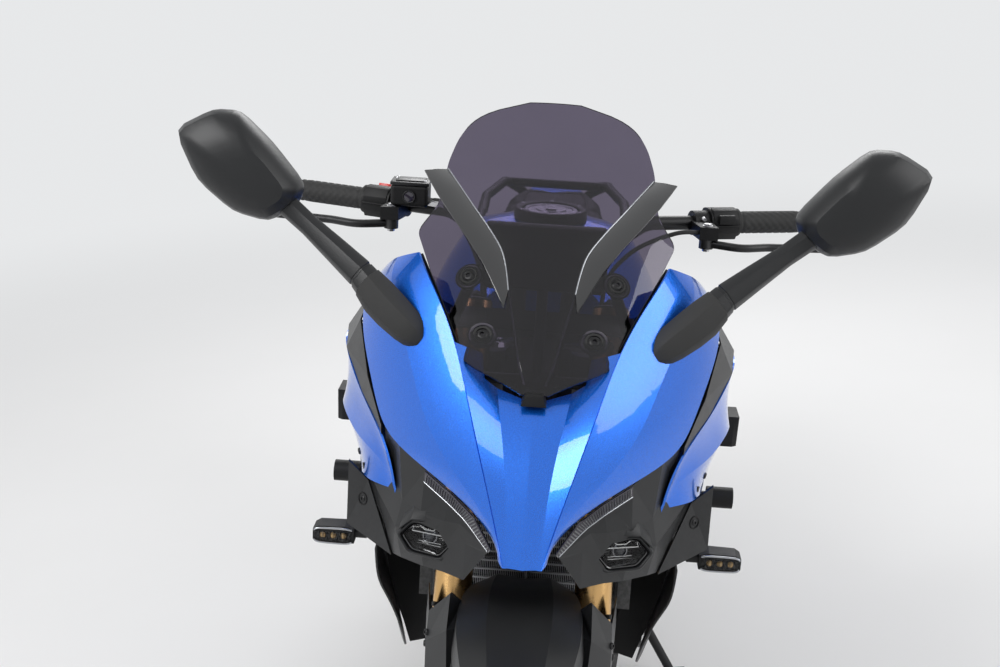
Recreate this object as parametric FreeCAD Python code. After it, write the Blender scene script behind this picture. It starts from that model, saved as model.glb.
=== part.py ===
"""A full-size sport touring motorcycle, parked on its side stand, as separate named pieces.

Everything is drawn upright first, in millimetres: x to the rider's left, y backwards, z up,
with y = 0 at the front axle and z = 0 on the floor under the tyres. The last step leans the
whole machine onto its stand and moves the origin to the floor under its middle.
"""

import FreeCAD, Part
import functools
import math
import os

V = FreeCAD.Vector

# Driving dimensions of the chassis
WHEELBASE = 1460.0
RAKE_DEG = 25.0
TRAIL = 100.0
LEAN_DEG = 6.5
OVERALL_LENGTH = 2140.0
STEER_LIMIT_DEG = 31.0
SIDE_SHIFT = 136.0

# Wheels and tyres
FRONT_TYRE_R = 300.0
FRONT_TYRE_W = 120.0
REAR_TYRE_R = 311.0
REAR_TYRE_W = 188.0
RIM_SEAT_R = 216.0
RIM_FLANGE_R = 224.0
FRONT_RIM_W = 100.0
REAR_RIM_W = 164.0
RIM_WALL = 6.0
RIM_LIP = 9.0
TYRE_RIM_GAP = 0.3
TYRE_WALL = 11.0
SIDEWALL_SHARE = 0.42
SPOKES = 6
FRONT_HUB_R = 36.0
REAR_HUB_R = 48.0
AXLE_R = 12.5
AXLE_GAP = 0.08
FRONT_DISC_R = 155.0
REAR_DISC_R = 120.0
DISC_T = 5.0
FRONT_DISC_X = 66.0
REAR_DISC_X = 106.0
CHAIN_X = 110.0
CHAIN_PITCH = 15.875
REAR_TEETH = 44
FRONT_TEETH = 17
CHAIN_HALF_H = 8.0
CHAIN_HALF_W = 9.0
CHAIN_CLEAR = 1.2

# Fork and steering
FORK_X = 102.5
FORK_TUBE_R = 27.5
FORK_LEG_R = 21.5
FORK_TUBE_FROM = 262.0
FORK_TUBE_TO = 728.0
STEM_R = 20.0
STEM_GAP = 0.08
HEAD_TUBE_R = 37.0
HEAD_TUBE_FROM = 826.0
HEAD_TUBE_TO = 994.0
CLAMP_GAP = 5.5
LOWER_CLAMP_T = 42.0
UPPER_CLAMP_T = 30.0
BAR_R = 11.1
BAR_CENTRE_R = 14.3
GRIP_R = 17.0
BAR_HALF = 412.0

# Frame, engine and swingarm
PIVOT_Y = 880.0
PIVOT_Z = 400.0
SPROCKET_Y = 800.0
SPROCKET_Z = 420.0
ENGINE_HALF_W = 165.0
SKIN = 3.0
SEAM = 0.6
SEAT_GAP = 0.3

SIN_R = math.sin(math.radians(RAKE_DEG))
COS_R = math.cos(math.radians(RAKE_DEG))
X_AXIS = V(1, 0, 0)
Y_AXIS = V(0, 1, 0)
Z_AXIS = V(0, 0, 1)
ORIGIN = V(0, 0, 0)
MIDDLE_Y = OVERALL_LENGTH / 2 - FRONT_TYRE_R
FRONT_AXLE = V(0, 0, FRONT_TYRE_R)
REAR_AXLE = V(0, WHEELBASE, REAR_TYRE_R)
STEER_FOOT = V(0, -TRAIL, 0)
STEER_AXIS = V(0, SIN_R, COS_R)


# Helpers that make shapes

built_once = functools.lru_cache(maxsize=None)


def carved(shape, *others):
    """A piece with the room for its neighbours cut out of it."""
    for other in others:
        for solid in (other if isinstance(other, (list, tuple)) else [other]):
            if shape.BoundBox.intersect(solid.BoundBox):
                shape = shape.cut(solid)
    return shape


def largest(shape):
    return max(shape.Solids, key=lambda solid: solid.Volume)


def steer_point(along, x=0.0, ahead=0.0):
    """A point by its distance up the steering axis, its side offset and how far it is ahead of it."""
    forward = V(0, -COS_R, SIN_R)
    return STEER_FOOT + STEER_AXIS * along + forward * ahead + V(x, 0, 0)


AXLE_ALONG = (FRONT_AXLE - STEER_FOOT).dot(STEER_AXIS)
FORK_AHEAD = (FRONT_AXLE - STEER_FOOT).dot(V(0, -COS_R, SIN_R))


def fork_point(up, x=FORK_X):
    """A point on a fork leg's centre line, by its distance up from the front axle."""
    return steer_point(AXLE_ALONG + up, x, FORK_AHEAD)


def mirrored(shape):
    return shape.mirror(ORIGIN, X_AXIS)


def pair(shape):
    """The piece and its twin on the other side."""
    return [shape, mirrored(shape)]


def rod(start, end, radius):
    return Part.makeCylinder(radius, (end - start).Length, start, end - start)


def tube(start, end, radius, bore):
    return rod(start, end, radius).cut(rod(start, end, bore))


def polygon(points):
    return Part.makePolygon(points + [points[0]])


def prism(points, reach):
    """A flat outline pushed along the vector reach."""
    return Part.Face(polygon(points)).extrude(reach)


def side_plate(outline, x_from, x_to):
    """An outline of (y, z) points, extruded from one x to another."""
    return prism([V(x_from, y, z) for y, z in outline], V(x_to - x_from, 0, 0))


def loft(sections, ruled=False):
    return Part.makeLoft([polygon(s) for s in sections], True, ruled)


def fuse(shapes):
    whole = shapes[0].fuse(shapes[1:]) if len(shapes) > 1 else shapes[0]
    return whole.removeSplitter()


def turned(outline, centre):
    """A ring around an axle: an outline of (x, radius) points revolved about the x axis."""
    points = [V(centre.x + x, centre.y, centre.z + r) for x, r in outline]
    return Part.Face(polygon(points)).revolve(centre, X_AXIS, 360)


def path_wire(points, bend):
    """Straight runs joined by tangent arcs."""
    edges = []
    start = points[0]
    for before, corner, after in zip(points, points[1:], points[2:]):
        back = (before - corner).normalize()
        on = (after - corner).normalize()
        half = math.acos(max(-1.0, min(1.0, back.dot(on)))) / 2
        reach = min(bend / math.tan(half), 0.45 * (before - corner).Length,
                    0.45 * (after - corner).Length)
        radius = reach * math.tan(half)
        middle = (back + on).normalize() * (radius / math.sin(half) - radius)
        first = corner + back * reach
        last = corner + on * reach
        edges.append(Part.LineSegment(start, first).toShape())
        edges.append(Part.Arc(first, corner + middle, last).toShape())
        start = last
    edges.append(Part.LineSegment(start, points[-1]).toShape())
    return Part.Wire(edges)


def bent_tube(points, radius, bend):
    """A round bar swept along a bent path."""
    spine = path_wire(points, bend)
    ring = Part.Wire(Part.makeCircle(radius, points[0], points[1] - points[0]))
    return spine.makePipeShell([ring], True, False)


def offset_path(path, distance):
    """An open path of (u, v, bulge) points, moved sideways with mitred corners."""
    normals = []
    for (u0, v0, _), (u1, v1, _) in zip(path, path[1:]):
        length = math.hypot(u1 - u0, v1 - v0)
        normals.append((-(v1 - v0) / length, (u1 - u0) / length))
    moved = []
    for i, (u, v, bulge) in enumerate(path):
        a = normals[max(i - 1, 0)]
        b = normals[min(i, len(normals) - 1)]
        scale = distance / (1 + a[0] * b[0] + a[1] * b[1])
        moved.append((u + (a[0] + b[0]) * scale, v + (a[1] + b[1]) * scale, bulge))
    return moved


def path_edges(plane, path):
    """Edges through a path's points: a line, or an arc where a bulge is given."""
    edges = []
    for (u0, v0, bulge), (u1, v1, _) in zip(path, path[1:]):
        start, end = plane(u0, v0), plane(u1, v1)
        if abs(bulge) < 1e-6:
            edges.append(Part.LineSegment(start, end).toShape())
            continue
        length = math.hypot(u1 - u0, v1 - v0)
        mid_u = (u0 + u1) / 2 - (v1 - v0) / length * bulge
        mid_v = (v0 + v1) / 2 + (u1 - u0) / length * bulge
        edges.append(Part.Arc(start, plane(mid_u, mid_v), end).toShape())
    return edges


def skin_wire(plane, path, wall):
    """The closed outline of a thin wall that follows a path; the wall lies on its right."""
    inner = offset_path(path, -wall)
    back = [(u, v, -inner[max(i - 1, 0)][2]) for i, (u, v, _) in enumerate(inner)][::-1]
    edges = path_edges(plane, path)
    edges.append(Part.LineSegment(plane(*path[-1][:2]), plane(*back[0][:2])).toShape())
    edges += path_edges(plane, back)
    edges.append(Part.LineSegment(plane(*back[-1][:2]), plane(*path[0][:2])).toShape())
    return Part.Wire(edges)


def upright(y):
    """The plane of a station at one y: u is x and v is z."""
    return lambda u, v: V(u, y, v)


def slanted(y, z, to_y, to_z):
    """A plane through two points seen from the side: u is x and v runs from the first to the second."""
    length = math.hypot(to_y - y, to_z - z)
    dy, dz = (to_y - y) / length, (to_z - z) / length
    return lambda u, v: V(u, y + v * dy, z + v * dz)


def skin_loft(wires, ruled=False):
    return Part.makeLoft(wires, True, ruled)


def closed_wire(plane, path):
    """A closed outline of (u, v, bulge) points; below 0, a bulge swells out of an anticlockwise one."""
    return Part.Wire(path_edges(plane, path + path[:1]))


def arc_ring(points):
    """A closed, almost smooth outline: one arc round each corner, from mid-side to mid-side."""
    middles = [(a + b) * 0.5 for a, b in zip(points, points[1:] + points[:1])]
    edges = []
    for corner, before, after in zip(points, middles[-1:] + middles[:-1], middles):
        edges.append(Part.Arc(before, corner * 0.5 + (before + after) * 0.25, after).toShape())
    return Part.Wire(edges)


def wheel_arch(centre, inner_r, table):
    """A thin guard round a tyre: degrees back from straight up, half width and depth of its sides."""
    stations = []
    for degrees, half, depth in table:
        angle = math.radians(degrees)
        up = V(0, math.sin(angle), math.cos(angle))
        path = [(half, inner_r - depth, 0), (half - 5, inner_r - 6, 0), (half * 0.5, inner_r + 10, 4),
                (-half * 0.5, inner_r + 10, 0), (5 - half, inner_r - 6, 0), (-half, inner_r - depth, 0)]
        stations.append(skin_wire(lambda u, v, up=up: centre + V(u, 0, 0) + up * v, path, SKIN))
    return skin_loft(stations)


# Wheels and brakes

def tyre(centre, outer_r, width, rim_width):
    """A tyre with a round crown, hollow inside, whose beads sit in the rim inside its flanges."""
    half = width / 2
    sidewall_r = RIM_SEAT_R + (outer_r - RIM_SEAT_R) * SIDEWALL_SHARE
    bead = rim_width / 2 - RIM_LIP
    foot_r = RIM_SEAT_R + TYRE_RIM_GAP
    side = [(bead - TYRE_RIM_GAP, foot_r), (bead + 3.6, RIM_FLANGE_R + 0.6),
            (bead + 12.0, RIM_FLANGE_R + 5.0), (half, sidewall_r)]
    inside = [(half - TYRE_WALL, sidewall_r - 3.0), (bead, RIM_FLANGE_R + 12.0),
              (bead - 11.0, RIM_FLANGE_R + 2.0), (bead - 12.0, foot_r)]

    def at(x, r):
        return V(centre.x + x, centre.y, centre.z + r)

    def line(points, sign):
        spots = [at(sign * x, r) for x, r in points]
        return [Part.LineSegment(p, q).toShape() for p, q in zip(spots, spots[1:])]

    crown = Part.Arc(at(half, sidewall_r), at(0, outer_r), at(-half, sidewall_r)).toShape()
    liner = Part.Arc(at(-half + TYRE_WALL, sidewall_r - 3.0), at(0, outer_r - TYRE_WALL),
                     at(half - TYRE_WALL, sidewall_r - 3.0)).toShape()
    edges = line(side, 1) + [crown] + line(side[::-1], -1)
    edges += line([side[0], inside[-1]], -1) + line(inside[::-1], -1) + [liner] + line(inside, 1)
    edges += line([inside[-1], side[0]], 1)
    return Part.Face(Part.Wire(edges)).revolve(centre, X_AXIS, 360)


def rim(centre, width, hub_r, hub_half, spoke_t):
    """A cast rim: flanged well, hub and tapered spokes with a split foot."""
    half = width / 2
    well_r = RIM_SEAT_R - 20
    outline = [(-half, RIM_FLANGE_R), (-half + 5, RIM_FLANGE_R), (-half + RIM_LIP, RIM_SEAT_R),
               (-half + 26, RIM_SEAT_R), (-half + 36, well_r), (half - 36, well_r),
               (half - 26, RIM_SEAT_R), (half - RIM_LIP, RIM_SEAT_R), (half - 5, RIM_FLANGE_R),
               (half, RIM_FLANGE_R), (half, RIM_FLANGE_R - 10), (half - 12, RIM_SEAT_R - 10),
               (half - 30, well_r - RIM_WALL), (-half + 30, well_r - RIM_WALL),
               (-half + 12, RIM_SEAT_R - 10), (-half, RIM_FLANGE_R - 10)]
    well = turned(outline, centre)
    hub = Part.makeCylinder(hub_r, 2 * hub_half, centre - V(hub_half, 0, 0), X_AXIS)
    parts = [well, hub]
    root_r, foot_r = hub_r - 6, well_r - RIM_WALL / 2
    for i in range(SPOKES):
        angle = 360.0 * i / SPOKES
        spoke = loft([[centre + V(x * spoke_t, y, root_r) for x, y in
                       ((-1.0, -17), (1.0, -17), (1.0, 17), (-1.0, 17))],
                      [centre + V(x * spoke_t * 0.72, y, (root_r + foot_r) / 2) for x, y in
                       ((-1.0, -12), (1.0, -12), (1.0, 12), (-1.0, 12))],
                      [centre + V(x * spoke_t * 0.8, y, foot_r) for x, y in
                       ((-1.0, -21), (1.0, -21), (1.0, 21), (-1.0, 21))]])
        spoke.rotate(centre, X_AXIS, angle)
        parts.append(spoke)
    bore = Part.makeCylinder(AXLE_R + AXLE_GAP, 4 * hub_half, centre - V(2 * hub_half, 0, 0), X_AXIS)
    return fuse(parts).cut(bore)


def brake_disc(centre, x, outer_r, carrier_r, hub_r):
    """A drilled disc on a flat carrier with arms."""
    inner_r = outer_r - 38
    start = centre + V(x - DISC_T / 2, 0, 0)
    disc = Part.makeCylinder(outer_r, DISC_T, start, X_AXIS)
    disc = disc.cut(Part.makeCylinder(inner_r, DISC_T, start, X_AXIS))
    holes = []
    for ring_r, shift in ((outer_r - 12, 0.0), (outer_r - 26, 0.5)):
        for i in range(8):
            angle = 2 * math.pi * (i + shift) / 8
            at = start + V(0, ring_r * math.cos(angle), ring_r * math.sin(angle))
            holes.append(Part.makeCylinder(3.5, DISC_T, at, X_AXIS))
    disc = disc.cut(Part.makeCompound(holes))
    carrier = Part.makeCylinder(carrier_r, DISC_T, start, X_AXIS)
    arms = [carrier]
    for i in range(5):
        arm = Part.makeBox(DISC_T, 26, inner_r + 3 - (carrier_r - 5), start + V(0, -13, carrier_r - 5))
        arm.rotate(centre, X_AXIS, 72.0 * i)
        arms.append(arm)
    bore = Part.makeCylinder(hub_r, DISC_T, start, X_AXIS)
    return fuse([disc] + arms).cut(bore)


def front_discs():
    return pair(brake_disc(FRONT_AXLE, FRONT_DISC_X, FRONT_DISC_R, 60.0, AXLE_R + AXLE_GAP))


def front_rim():
    return rim(FRONT_AXLE, FRONT_RIM_W, FRONT_HUB_R, FRONT_DISC_X - DISC_T / 2, 19.0)


def rear_rim():
    return rim(REAR_AXLE, REAR_RIM_W, REAR_HUB_R, REAR_DISC_X - DISC_T / 2, 26.0)


def rear_disc():
    return brake_disc(REAR_AXLE, -REAR_DISC_X, REAR_DISC_R, 58.0, AXLE_R + AXLE_GAP)


def pitch_radius(teeth):
    return CHAIN_PITCH / (2 * math.sin(math.pi / teeth))


def rear_sprocket():
    """A toothed plate whose tips run just inside the chain."""
    tip_r = pitch_radius(REAR_TEETH) - CHAIN_HALF_H - CHAIN_CLEAR
    x_from = REAR_DISC_X - DISC_T / 2
    x_to = CHAIN_X + DISC_T / 2
    points = []
    for i in range(REAR_TEETH):
        for share, radius in ((0.15, tip_r), (0.45, tip_r), (0.65, tip_r - 5), (0.95, tip_r - 5)):
            angle = 2 * math.pi * (i + share) / REAR_TEETH
            points.append(V(CHAIN_X - DISC_T / 2, REAR_AXLE.y + radius * math.cos(angle),
                            REAR_AXLE.z + radius * math.sin(angle)))
    plate = prism(points, V(DISC_T, 0, 0))
    windows = []
    for i in range(5):
        window = Part.makeCylinder(15, DISC_T, V(CHAIN_X - DISC_T / 2, REAR_AXLE.y, REAR_AXLE.z + 72), X_AXIS)
        window.rotate(REAR_AXLE, X_AXIS, 72.0 * i)
        windows.append(window)
    boss = Part.makeCylinder(44, x_to - x_from, REAR_AXLE + V(x_from, 0, 0), X_AXIS)
    bore = Part.makeCylinder(AXLE_R + AXLE_GAP, x_to - x_from, REAR_AXLE + V(x_from, 0, 0), X_AXIS)
    return fuse([plate.cut(Part.makeCompound(windows)), boss]).cut(bore)


def chain():
    """One closed loop round both sprockets, with its link plates in the outline."""
    big, small = pitch_radius(REAR_TEETH), pitch_radius(FRONT_TEETH)
    span = math.hypot(WHEELBASE - SPROCKET_Y, REAR_AXLE.z - SPROCKET_Z)
    tilt = math.atan2(REAR_AXLE.z - SPROCKET_Z, WHEELBASE - SPROCKET_Y)
    wrap = math.asin((big - small) / span)

    def loop(offset):
        def at(cy, cz, radius, angle):
            return V(0, cy + radius * math.cos(angle), cz + radius * math.sin(angle))
        top = tilt + math.pi / 2 + wrap
        low = tilt - math.pi / 2 - wrap
        b, s = big + offset, small + offset
        p1, p2 = at(SPROCKET_Y, SPROCKET_Z, s, top), at(WHEELBASE, REAR_AXLE.z, b, top)
        p3, p4 = at(WHEELBASE, REAR_AXLE.z, b, low), at(SPROCKET_Y, SPROCKET_Z, s, low)
        rear_mid = at(WHEELBASE, REAR_AXLE.z, b, tilt)
        front_mid = at(SPROCKET_Y, SPROCKET_Z, s, tilt + math.pi)
        return Part.Wire([Part.LineSegment(p1, p2).toShape(), Part.Arc(p2, rear_mid, p3).toShape(),
                          Part.LineSegment(p3, p4).toShape(), Part.Arc(p4, front_mid, p1).toShape()])
    outer, inner = Part.Face(loop(CHAIN_HALF_H)), Part.Face(loop(-CHAIN_HALF_H))
    band = outer.cut(inner).extrude(V(2 * CHAIN_HALF_W, 0, 0))
    band.translate(V(CHAIN_X - CHAIN_HALF_W, 0, 0))
    return band


# Fork, handlebar and controls

def fork_tubes():
    return pair(rod(fork_point(FORK_TUBE_FROM), fork_point(FORK_TUBE_TO), FORK_TUBE_R))


@built_once
def fork_legs():
    """Both lower legs with their axle lugs and caliper ears, joined by the axle."""
    parts = []
    for side in (1, -1):
        x = side * FORK_X
        parts.append(rod(fork_point(40, x), fork_point(FORK_TUBE_FROM - SEAT_GAP, x), FORK_LEG_R))
        lug = side_plate([(-34, 276), (-20, 262), (20, 262), (36, 280), (62, 372), (98, 392),
                          (104, 420), (92, 428), (54, 412), (28, 428), (4, 424), (-28, 330)],
                         x - 19, x + 19)
        parts.append(lug)
    axle = rod(V(-FORK_X - 24, 0, FRONT_AXLE.z), V(FORK_X + 24, 0, FRONT_AXLE.z), AXLE_R)
    return fuse(parts + [axle])


def front_calipers():
    """Radial calipers behind the legs, each straddling its disc."""
    outline = [(96, 386), (150, 352), (172, 384), (150, 436), (108, 452), (92, 430)]
    inner_x, outer_x = FRONT_DISC_X - 14, FORK_X - 5
    body = side_plate(outline, inner_x, outer_x)
    slot_half = DISC_T / 2 + 2
    disc_room = Part.makeCylinder(FRONT_DISC_R + 5, 2 * slot_half,
                                  FRONT_AXLE + V(FRONT_DISC_X - slot_half, 0, 0), X_AXIS)
    leg = fork_legs()
    return pair(body.cut(disc_room).cut(leg))


def clamp_plate(along, thickness, half_x, behind, ahead):
    """A fork clamp's plate, square to the steering axis."""
    corner = [(-half_x, ahead), (half_x, ahead), (half_x + 10, ahead - 26), (half_x - 8, -4),
              (32, -behind), (-32, -behind), (-half_x + 8, -4), (-half_x - 10, ahead - 26)]
    return prism([steer_point(along, x, a) for x, a in corner], STEER_AXIS * thickness)


@built_once
def triple_clamps():
    """Lower and upper clamps joined by the steering stem, bored for the fork tubes."""
    low = HEAD_TUBE_FROM - CLAMP_GAP - LOWER_CLAMP_T
    high = HEAD_TUBE_TO + CLAMP_GAP
    lower = clamp_plate(low, LOWER_CLAMP_T, 118, 34, 66)
    upper = clamp_plate(high, UPPER_CLAMP_T, 118, 34, 66)
    sleeves = []
    for x in (FORK_X, -FORK_X):
        for along, thick in ((low, LOWER_CLAMP_T), (high, UPPER_CLAMP_T)):
            sleeves.append(rod(steer_point(along, x, FORK_AHEAD),
                               steer_point(along + thick, x, FORK_AHEAD), FORK_TUBE_R + 8))
    stem = rod(steer_point(low), steer_point(high + UPPER_CLAMP_T + 8), STEM_R)
    whole = fuse([lower, upper, stem] + sleeves)
    bores = [rod(fork_point(FORK_TUBE_FROM, x), fork_point(FORK_TUBE_TO + 50, x),
                 FORK_TUBE_R + SEAT_GAP) for x in (FORK_X, -FORK_X)]
    return whole.cut(Part.makeCompound(bores))


BAR_CLAMP = V(0, 335, 1030)
BAR_KNEE = V(150, 401, 1078)
BAR_END = V(BAR_HALF, 490, 1079)
BAR_RUN = (BAR_END - BAR_KNEE).normalize()


def bar_point(from_end):
    """A point on the left half of the handlebar, by its distance in from the end."""
    return BAR_END - BAR_RUN * from_end


@built_once
def handlebar():
    """A tapered bar in two risers that stand on the upper clamp."""
    half = [V(0, BAR_CLAMP.y, BAR_CLAMP.z), V(62, BAR_CLAMP.y, BAR_CLAMP.z), BAR_KNEE, bar_point(14)]
    left = bent_tube(half, BAR_R, 60)
    centre = rod(V(-58, BAR_CLAMP.y, BAR_CLAMP.z), V(58, BAR_CLAMP.y, BAR_CLAMP.z), BAR_CENTRE_R)
    foot = HEAD_TUBE_TO + CLAMP_GAP + UPPER_CLAMP_T
    risers = []
    for x in (42, -42):
        base = steer_point(foot, x)
        top = V(x, BAR_CLAMP.y, BAR_CLAMP.z)
        shaft = rod(base + STEER_AXIS * SEAT_GAP, top, 15)
        block = Part.makeCylinder(BAR_CENTRE_R + 8, 26, top - V(13, 0, 0), X_AXIS)
        risers += [shaft, block]
    return carved(fuse([left, mirrored(left), centre] + risers), triple_clamps())


GRIP_LENGTH = 118.0
CONTROL_LENGTH = 46.0


def hollow_on_bar(shape):
    """Bores a piece for the bar it sits on."""
    return shape.cut(rod(bar_point(-20), bar_point(260), BAR_R + SEAT_GAP))


def grips():
    """Rubber grips with a flange at each end, and the metal bar ends."""
    grip = rod(bar_point(GRIP_LENGTH + 12), bar_point(14), GRIP_R)
    flange = rod(bar_point(GRIP_LENGTH + 12), bar_point(GRIP_LENGTH + 6), GRIP_R + 5)
    weight = rod(bar_point(14 - SEAT_GAP), bar_point(0), GRIP_R - 1)
    sleeve = hollow_on_bar(fuse([grip, flange]))
    return pair(sleeve) + pair(weight)


def hand_controls():
    """Switch block and lever perch on each side; the right one carries the fluid tank."""
    inner = GRIP_LENGTH + 13
    block = rod(bar_point(inner + CONTROL_LENGTH), bar_point(inner), 24)
    block = block.common(Part.makeBox(200, 200, 46, bar_point(inner + CONTROL_LENGTH) - V(60, 90, 23)))
    perch_at = bar_point(inner + CONTROL_LENGTH + 1)
    perch = rod(perch_at - BAR_RUN * 24, perch_at, 19)
    arm = prism([perch_at + V(-26, -12, -14), perch_at + V(4, -12, -14), perch_at + V(14, -66, -14),
                 perch_at + V(-14, -66, -14)], V(0, 0, 20))
    left = carved(hollow_on_bar(fuse([block, perch, arm])), hand_levers())
    tank = Part.makeBox(58, 46, 34, perch_at + V(-58, -62, 7))
    tank = tank.makeFillet(6, tank.Edges)
    right = carved(hollow_on_bar(fuse([block, perch, arm, tank])), hand_levers())
    return [left, mirrored(right)]


@built_once
def hand_levers():
    """Two curved levers, each pivoting in front of its perch."""
    root = bar_point(GRIP_LENGTH + 13 + CONTROL_LENGTH + 1)
    start = root + V(-2, -54, -21)
    path = [start, start + V(52, -18, -1), start + V(92, 2, -1), start + V(205, 22, -1)]
    lever = bent_tube(path, 6.2, 40)
    ball = Part.makeSphere(8.5, path[-1])
    pivot = Part.makeCylinder(11, 15, start + V(0, 0, -7.5), Z_AXIS)
    return pair(fuse([lever, ball, pivot]))


FENDER = (  # degrees back from straight up, half width, depth of the sides
    (-48, 36, 14), (-32, 62, 34), (-12, 84, 46), (8, 84, 50),
    (25, 72.5, 52), (46, 70, 48), (66, 66, 36), (80, 58, 20))
FENDER_EAR = (  # x, y, z at the arch, at the front ridge, at the outer corner and at the rear edge
    ((81, 16, 610), (97, 5, 630), (128, 36, 585), (135, 96, 596)),
    ((81, -16, 590), (98, -26, 590), (129, 14, 550), (137, 100, 548)),
    ((80, -38, 544), (94, -44, 520), (128, 4, 500), (136, 94, 490)),
    ((79, -24, 490), (90, -30, 462), (124, 14, 452), (132, 84, 446)),
)
FENDER_GAP = 16.0
EAR_BEHIND = V(-0.25, 0.96, -0.15)
EAR_WALL = 6.0


@built_once
def front_fender():
    """A thin arch over the tyre, with folded ears round the fork and a pad on each fork tube."""
    whole = wheel_arch(FRONT_AXLE, FRONT_TYRE_R + FENDER_GAP, FENDER)
    ear = plate_grid([[V(*at) for at in row] for row in FENDER_EAR], EAR_WALL, EAR_BEHIND)
    tube_room = rod(fork_point(FORK_TUBE_FROM), fork_point(FORK_TUBE_TO), FORK_TUBE_R + SEAT_GAP)
    foot = fork_point(FORK_TUBE_FROM + 18, 0)
    pad = rod(foot + V(66, 0, 0), foot + V(86, 0, 0), 14)
    for piece in pair(ear) + pair(pad):
        whole = whole.fuse(piece)
    return largest(whole.removeSplitter().cut(Part.makeCompound(pair(tube_room))))


# Frame, engine and running gear

SPAR = (  # y, x, z, width, height of the spar's section
    (296, 34, 846, 36, 104),
    (350, 62, 822, 34, 110),
    (420, 128, 792, 34, 120),
    (520, 200, 738, 34, 122),
    (680, 204, 634, 34, 128),
    (800, 176, 524, 34, 150),
    (884, 141, 418, 32, 196),
)


@built_once
def frame_main():
    """Head tube, twin spars and swingarm plates."""
    head = tube(steer_point(HEAD_TUBE_FROM), steer_point(HEAD_TUBE_TO), HEAD_TUBE_R, STEM_R + STEM_GAP)
    sections = []
    for y, x, z, width, height in SPAR:
        w, h, c = width / 2, height / 2, 7
        sections.append([V(x - w, y, z - h + c), V(x - w + c, y, z - h), V(x + w - c, y, z - h),
                         V(x + w, y, z - h + c), V(x + w, y, z + h - c), V(x + w - c, y, z + h),
                         V(x - w + c, y, z + h), V(x - w, y, z + h - c)])
    spar = loft(sections)
    gusset = side_plate([(262, 792), (330, 776), (372, 800), (372, 872), (318, 888), (294, 880)], -52, 52)
    stem_room = rod(steer_point(HEAD_TUBE_FROM - 60), steer_point(HEAD_TUBE_TO + 60), STEM_R + STEM_GAP)
    keep = rod(steer_point(HEAD_TUBE_FROM), steer_point(HEAD_TUBE_TO), 400)
    cross = rod(V(-205, 700, 560), V(205, 700, 560), 22)
    pivot = rod(V(-150, PIVOT_Y, PIVOT_Z), V(150, PIVOT_Y, PIVOT_Z), 13)
    whole = fuse([head, spar, mirrored(spar), gusset.common(keep), cross, pivot])
    return whole.cut(stem_room)


SWINGARM_INNER_X = 127.0
BRACE_INNER_X = 130.0


@built_once
def swingarm():
    """Two braced arms joined ahead of the wheel, slotted for the axle."""
    tube_half = 96.0
    pivot = tube(V(-tube_half, PIVOT_Y, PIVOT_Z), V(tube_half, PIVOT_Y, PIVOT_Z), 30, 13 + SEAT_GAP)
    bridge = Part.makeBox(2 * 88, 120, 54, V(-88, PIVOT_Y + 20, PIVOT_Z - 27))
    parts = [pivot, bridge]
    for side in (1, -1):
        sections = []
        arm_x = SWINGARM_INNER_X + 13
        stations = ((PIVOT_Y + 36, 80, 398, 30, 52), (PIVOT_Y + 130, 128, 392, 26, 60),
                    (PIVOT_Y + 230, arm_x, 378, 26, 78), (WHEELBASE - 80, arm_x, 330, 26, 62),
                    (WHEELBASE + 50, arm_x, 308, 26, 54))
        for y, x, z, width, height in stations:
            w, h = width / 2, height / 2
            sections.append([V(side * (x + a * w), y, z + b * h) for a, b in
                             ((-1, -1), (1, -1), (1, 1), (-1, 1))])
        parts.append(loft(sections, True))
        parts.append(side_plate([(PIVOT_Y + 150, 410), (PIVOT_Y + 180, 410), (PIVOT_Y + 290, 470),
                                 (WHEELBASE - 100, 372), (WHEELBASE - 60, 352), (WHEELBASE - 60, 376),
                                 (PIVOT_Y + 290, 500)], side * BRACE_INNER_X, side * (BRACE_INNER_X + 20)))
    whole = fuse(parts)
    axle_hole = rod(V(-200, WHEELBASE, REAR_AXLE.z), V(200, WHEELBASE, REAR_AXLE.z), AXLE_R + SEAT_GAP)
    return whole.cut(axle_hole)


def rear_axle():
    axle = rod(V(-168, WHEELBASE, REAR_AXLE.z), V(168, WHEELBASE, REAR_AXLE.z), AXLE_R)
    nuts = [Part.makeCylinder(21, 12, V(153.3, WHEELBASE, REAR_AXLE.z), X_AXIS),
            Part.makeCylinder(21, 12, V(-165.3, WHEELBASE, REAR_AXLE.z), X_AXIS)]
    return fuse([axle] + nuts)


CALIPER_R = 105.0
CALIPER_HALF_W = 17.0


def rear_caliper():
    """The caliper astride the rear disc, on a plate that hangs on the axle beside the swingarm."""
    out = V(0, -1, 1).normalize()
    along = V(0, 1, 1).normalize()
    middle = REAR_AXLE + out * CALIPER_R - X_AXIS * (REAR_DISC_X + CALIPER_HALF_W)
    outline = ((32, 30), (32, -30), (8, -44), (-32, -36), (-32, 36), (8, 44))
    body = prism([middle + out * a + along * b for a, b in outline], X_AXIS * 2 * CALIPER_HALF_W)
    slot_half = DISC_T / 2 + 2
    disc_room = Part.makeCylinder(REAR_DISC_R + 5, 2 * slot_half,
                                  REAR_AXLE - X_AXIS * (REAR_DISC_X + slot_half), X_AXIS)
    plate_x = -(REAR_DISC_X + CALIPER_HALF_W)
    plate = prism([REAR_AXLE + V(plate_x, 0, 0) + out * a + along * b for a, b in
                   ((-8, 22), (-8, -22), (90, -28), (90, 28))], X_AXIS * 8)
    collar = rod(REAR_AXLE - X_AXIS * (SWINGARM_INNER_X - SEAT_GAP), REAR_AXLE + V(plate_x + 10, 0, 0), 26)
    bore = rod(REAR_AXLE - X_AXIS * 200, REAR_AXLE, AXLE_R + SEAT_GAP)
    pistons = [rod(middle + along * b, middle + along * b - X_AXIS * 3, 13) for b in (-17, 17)]
    return fuse([body.cut(disc_room), plate, collar] + pistons).cut(bore)


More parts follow.
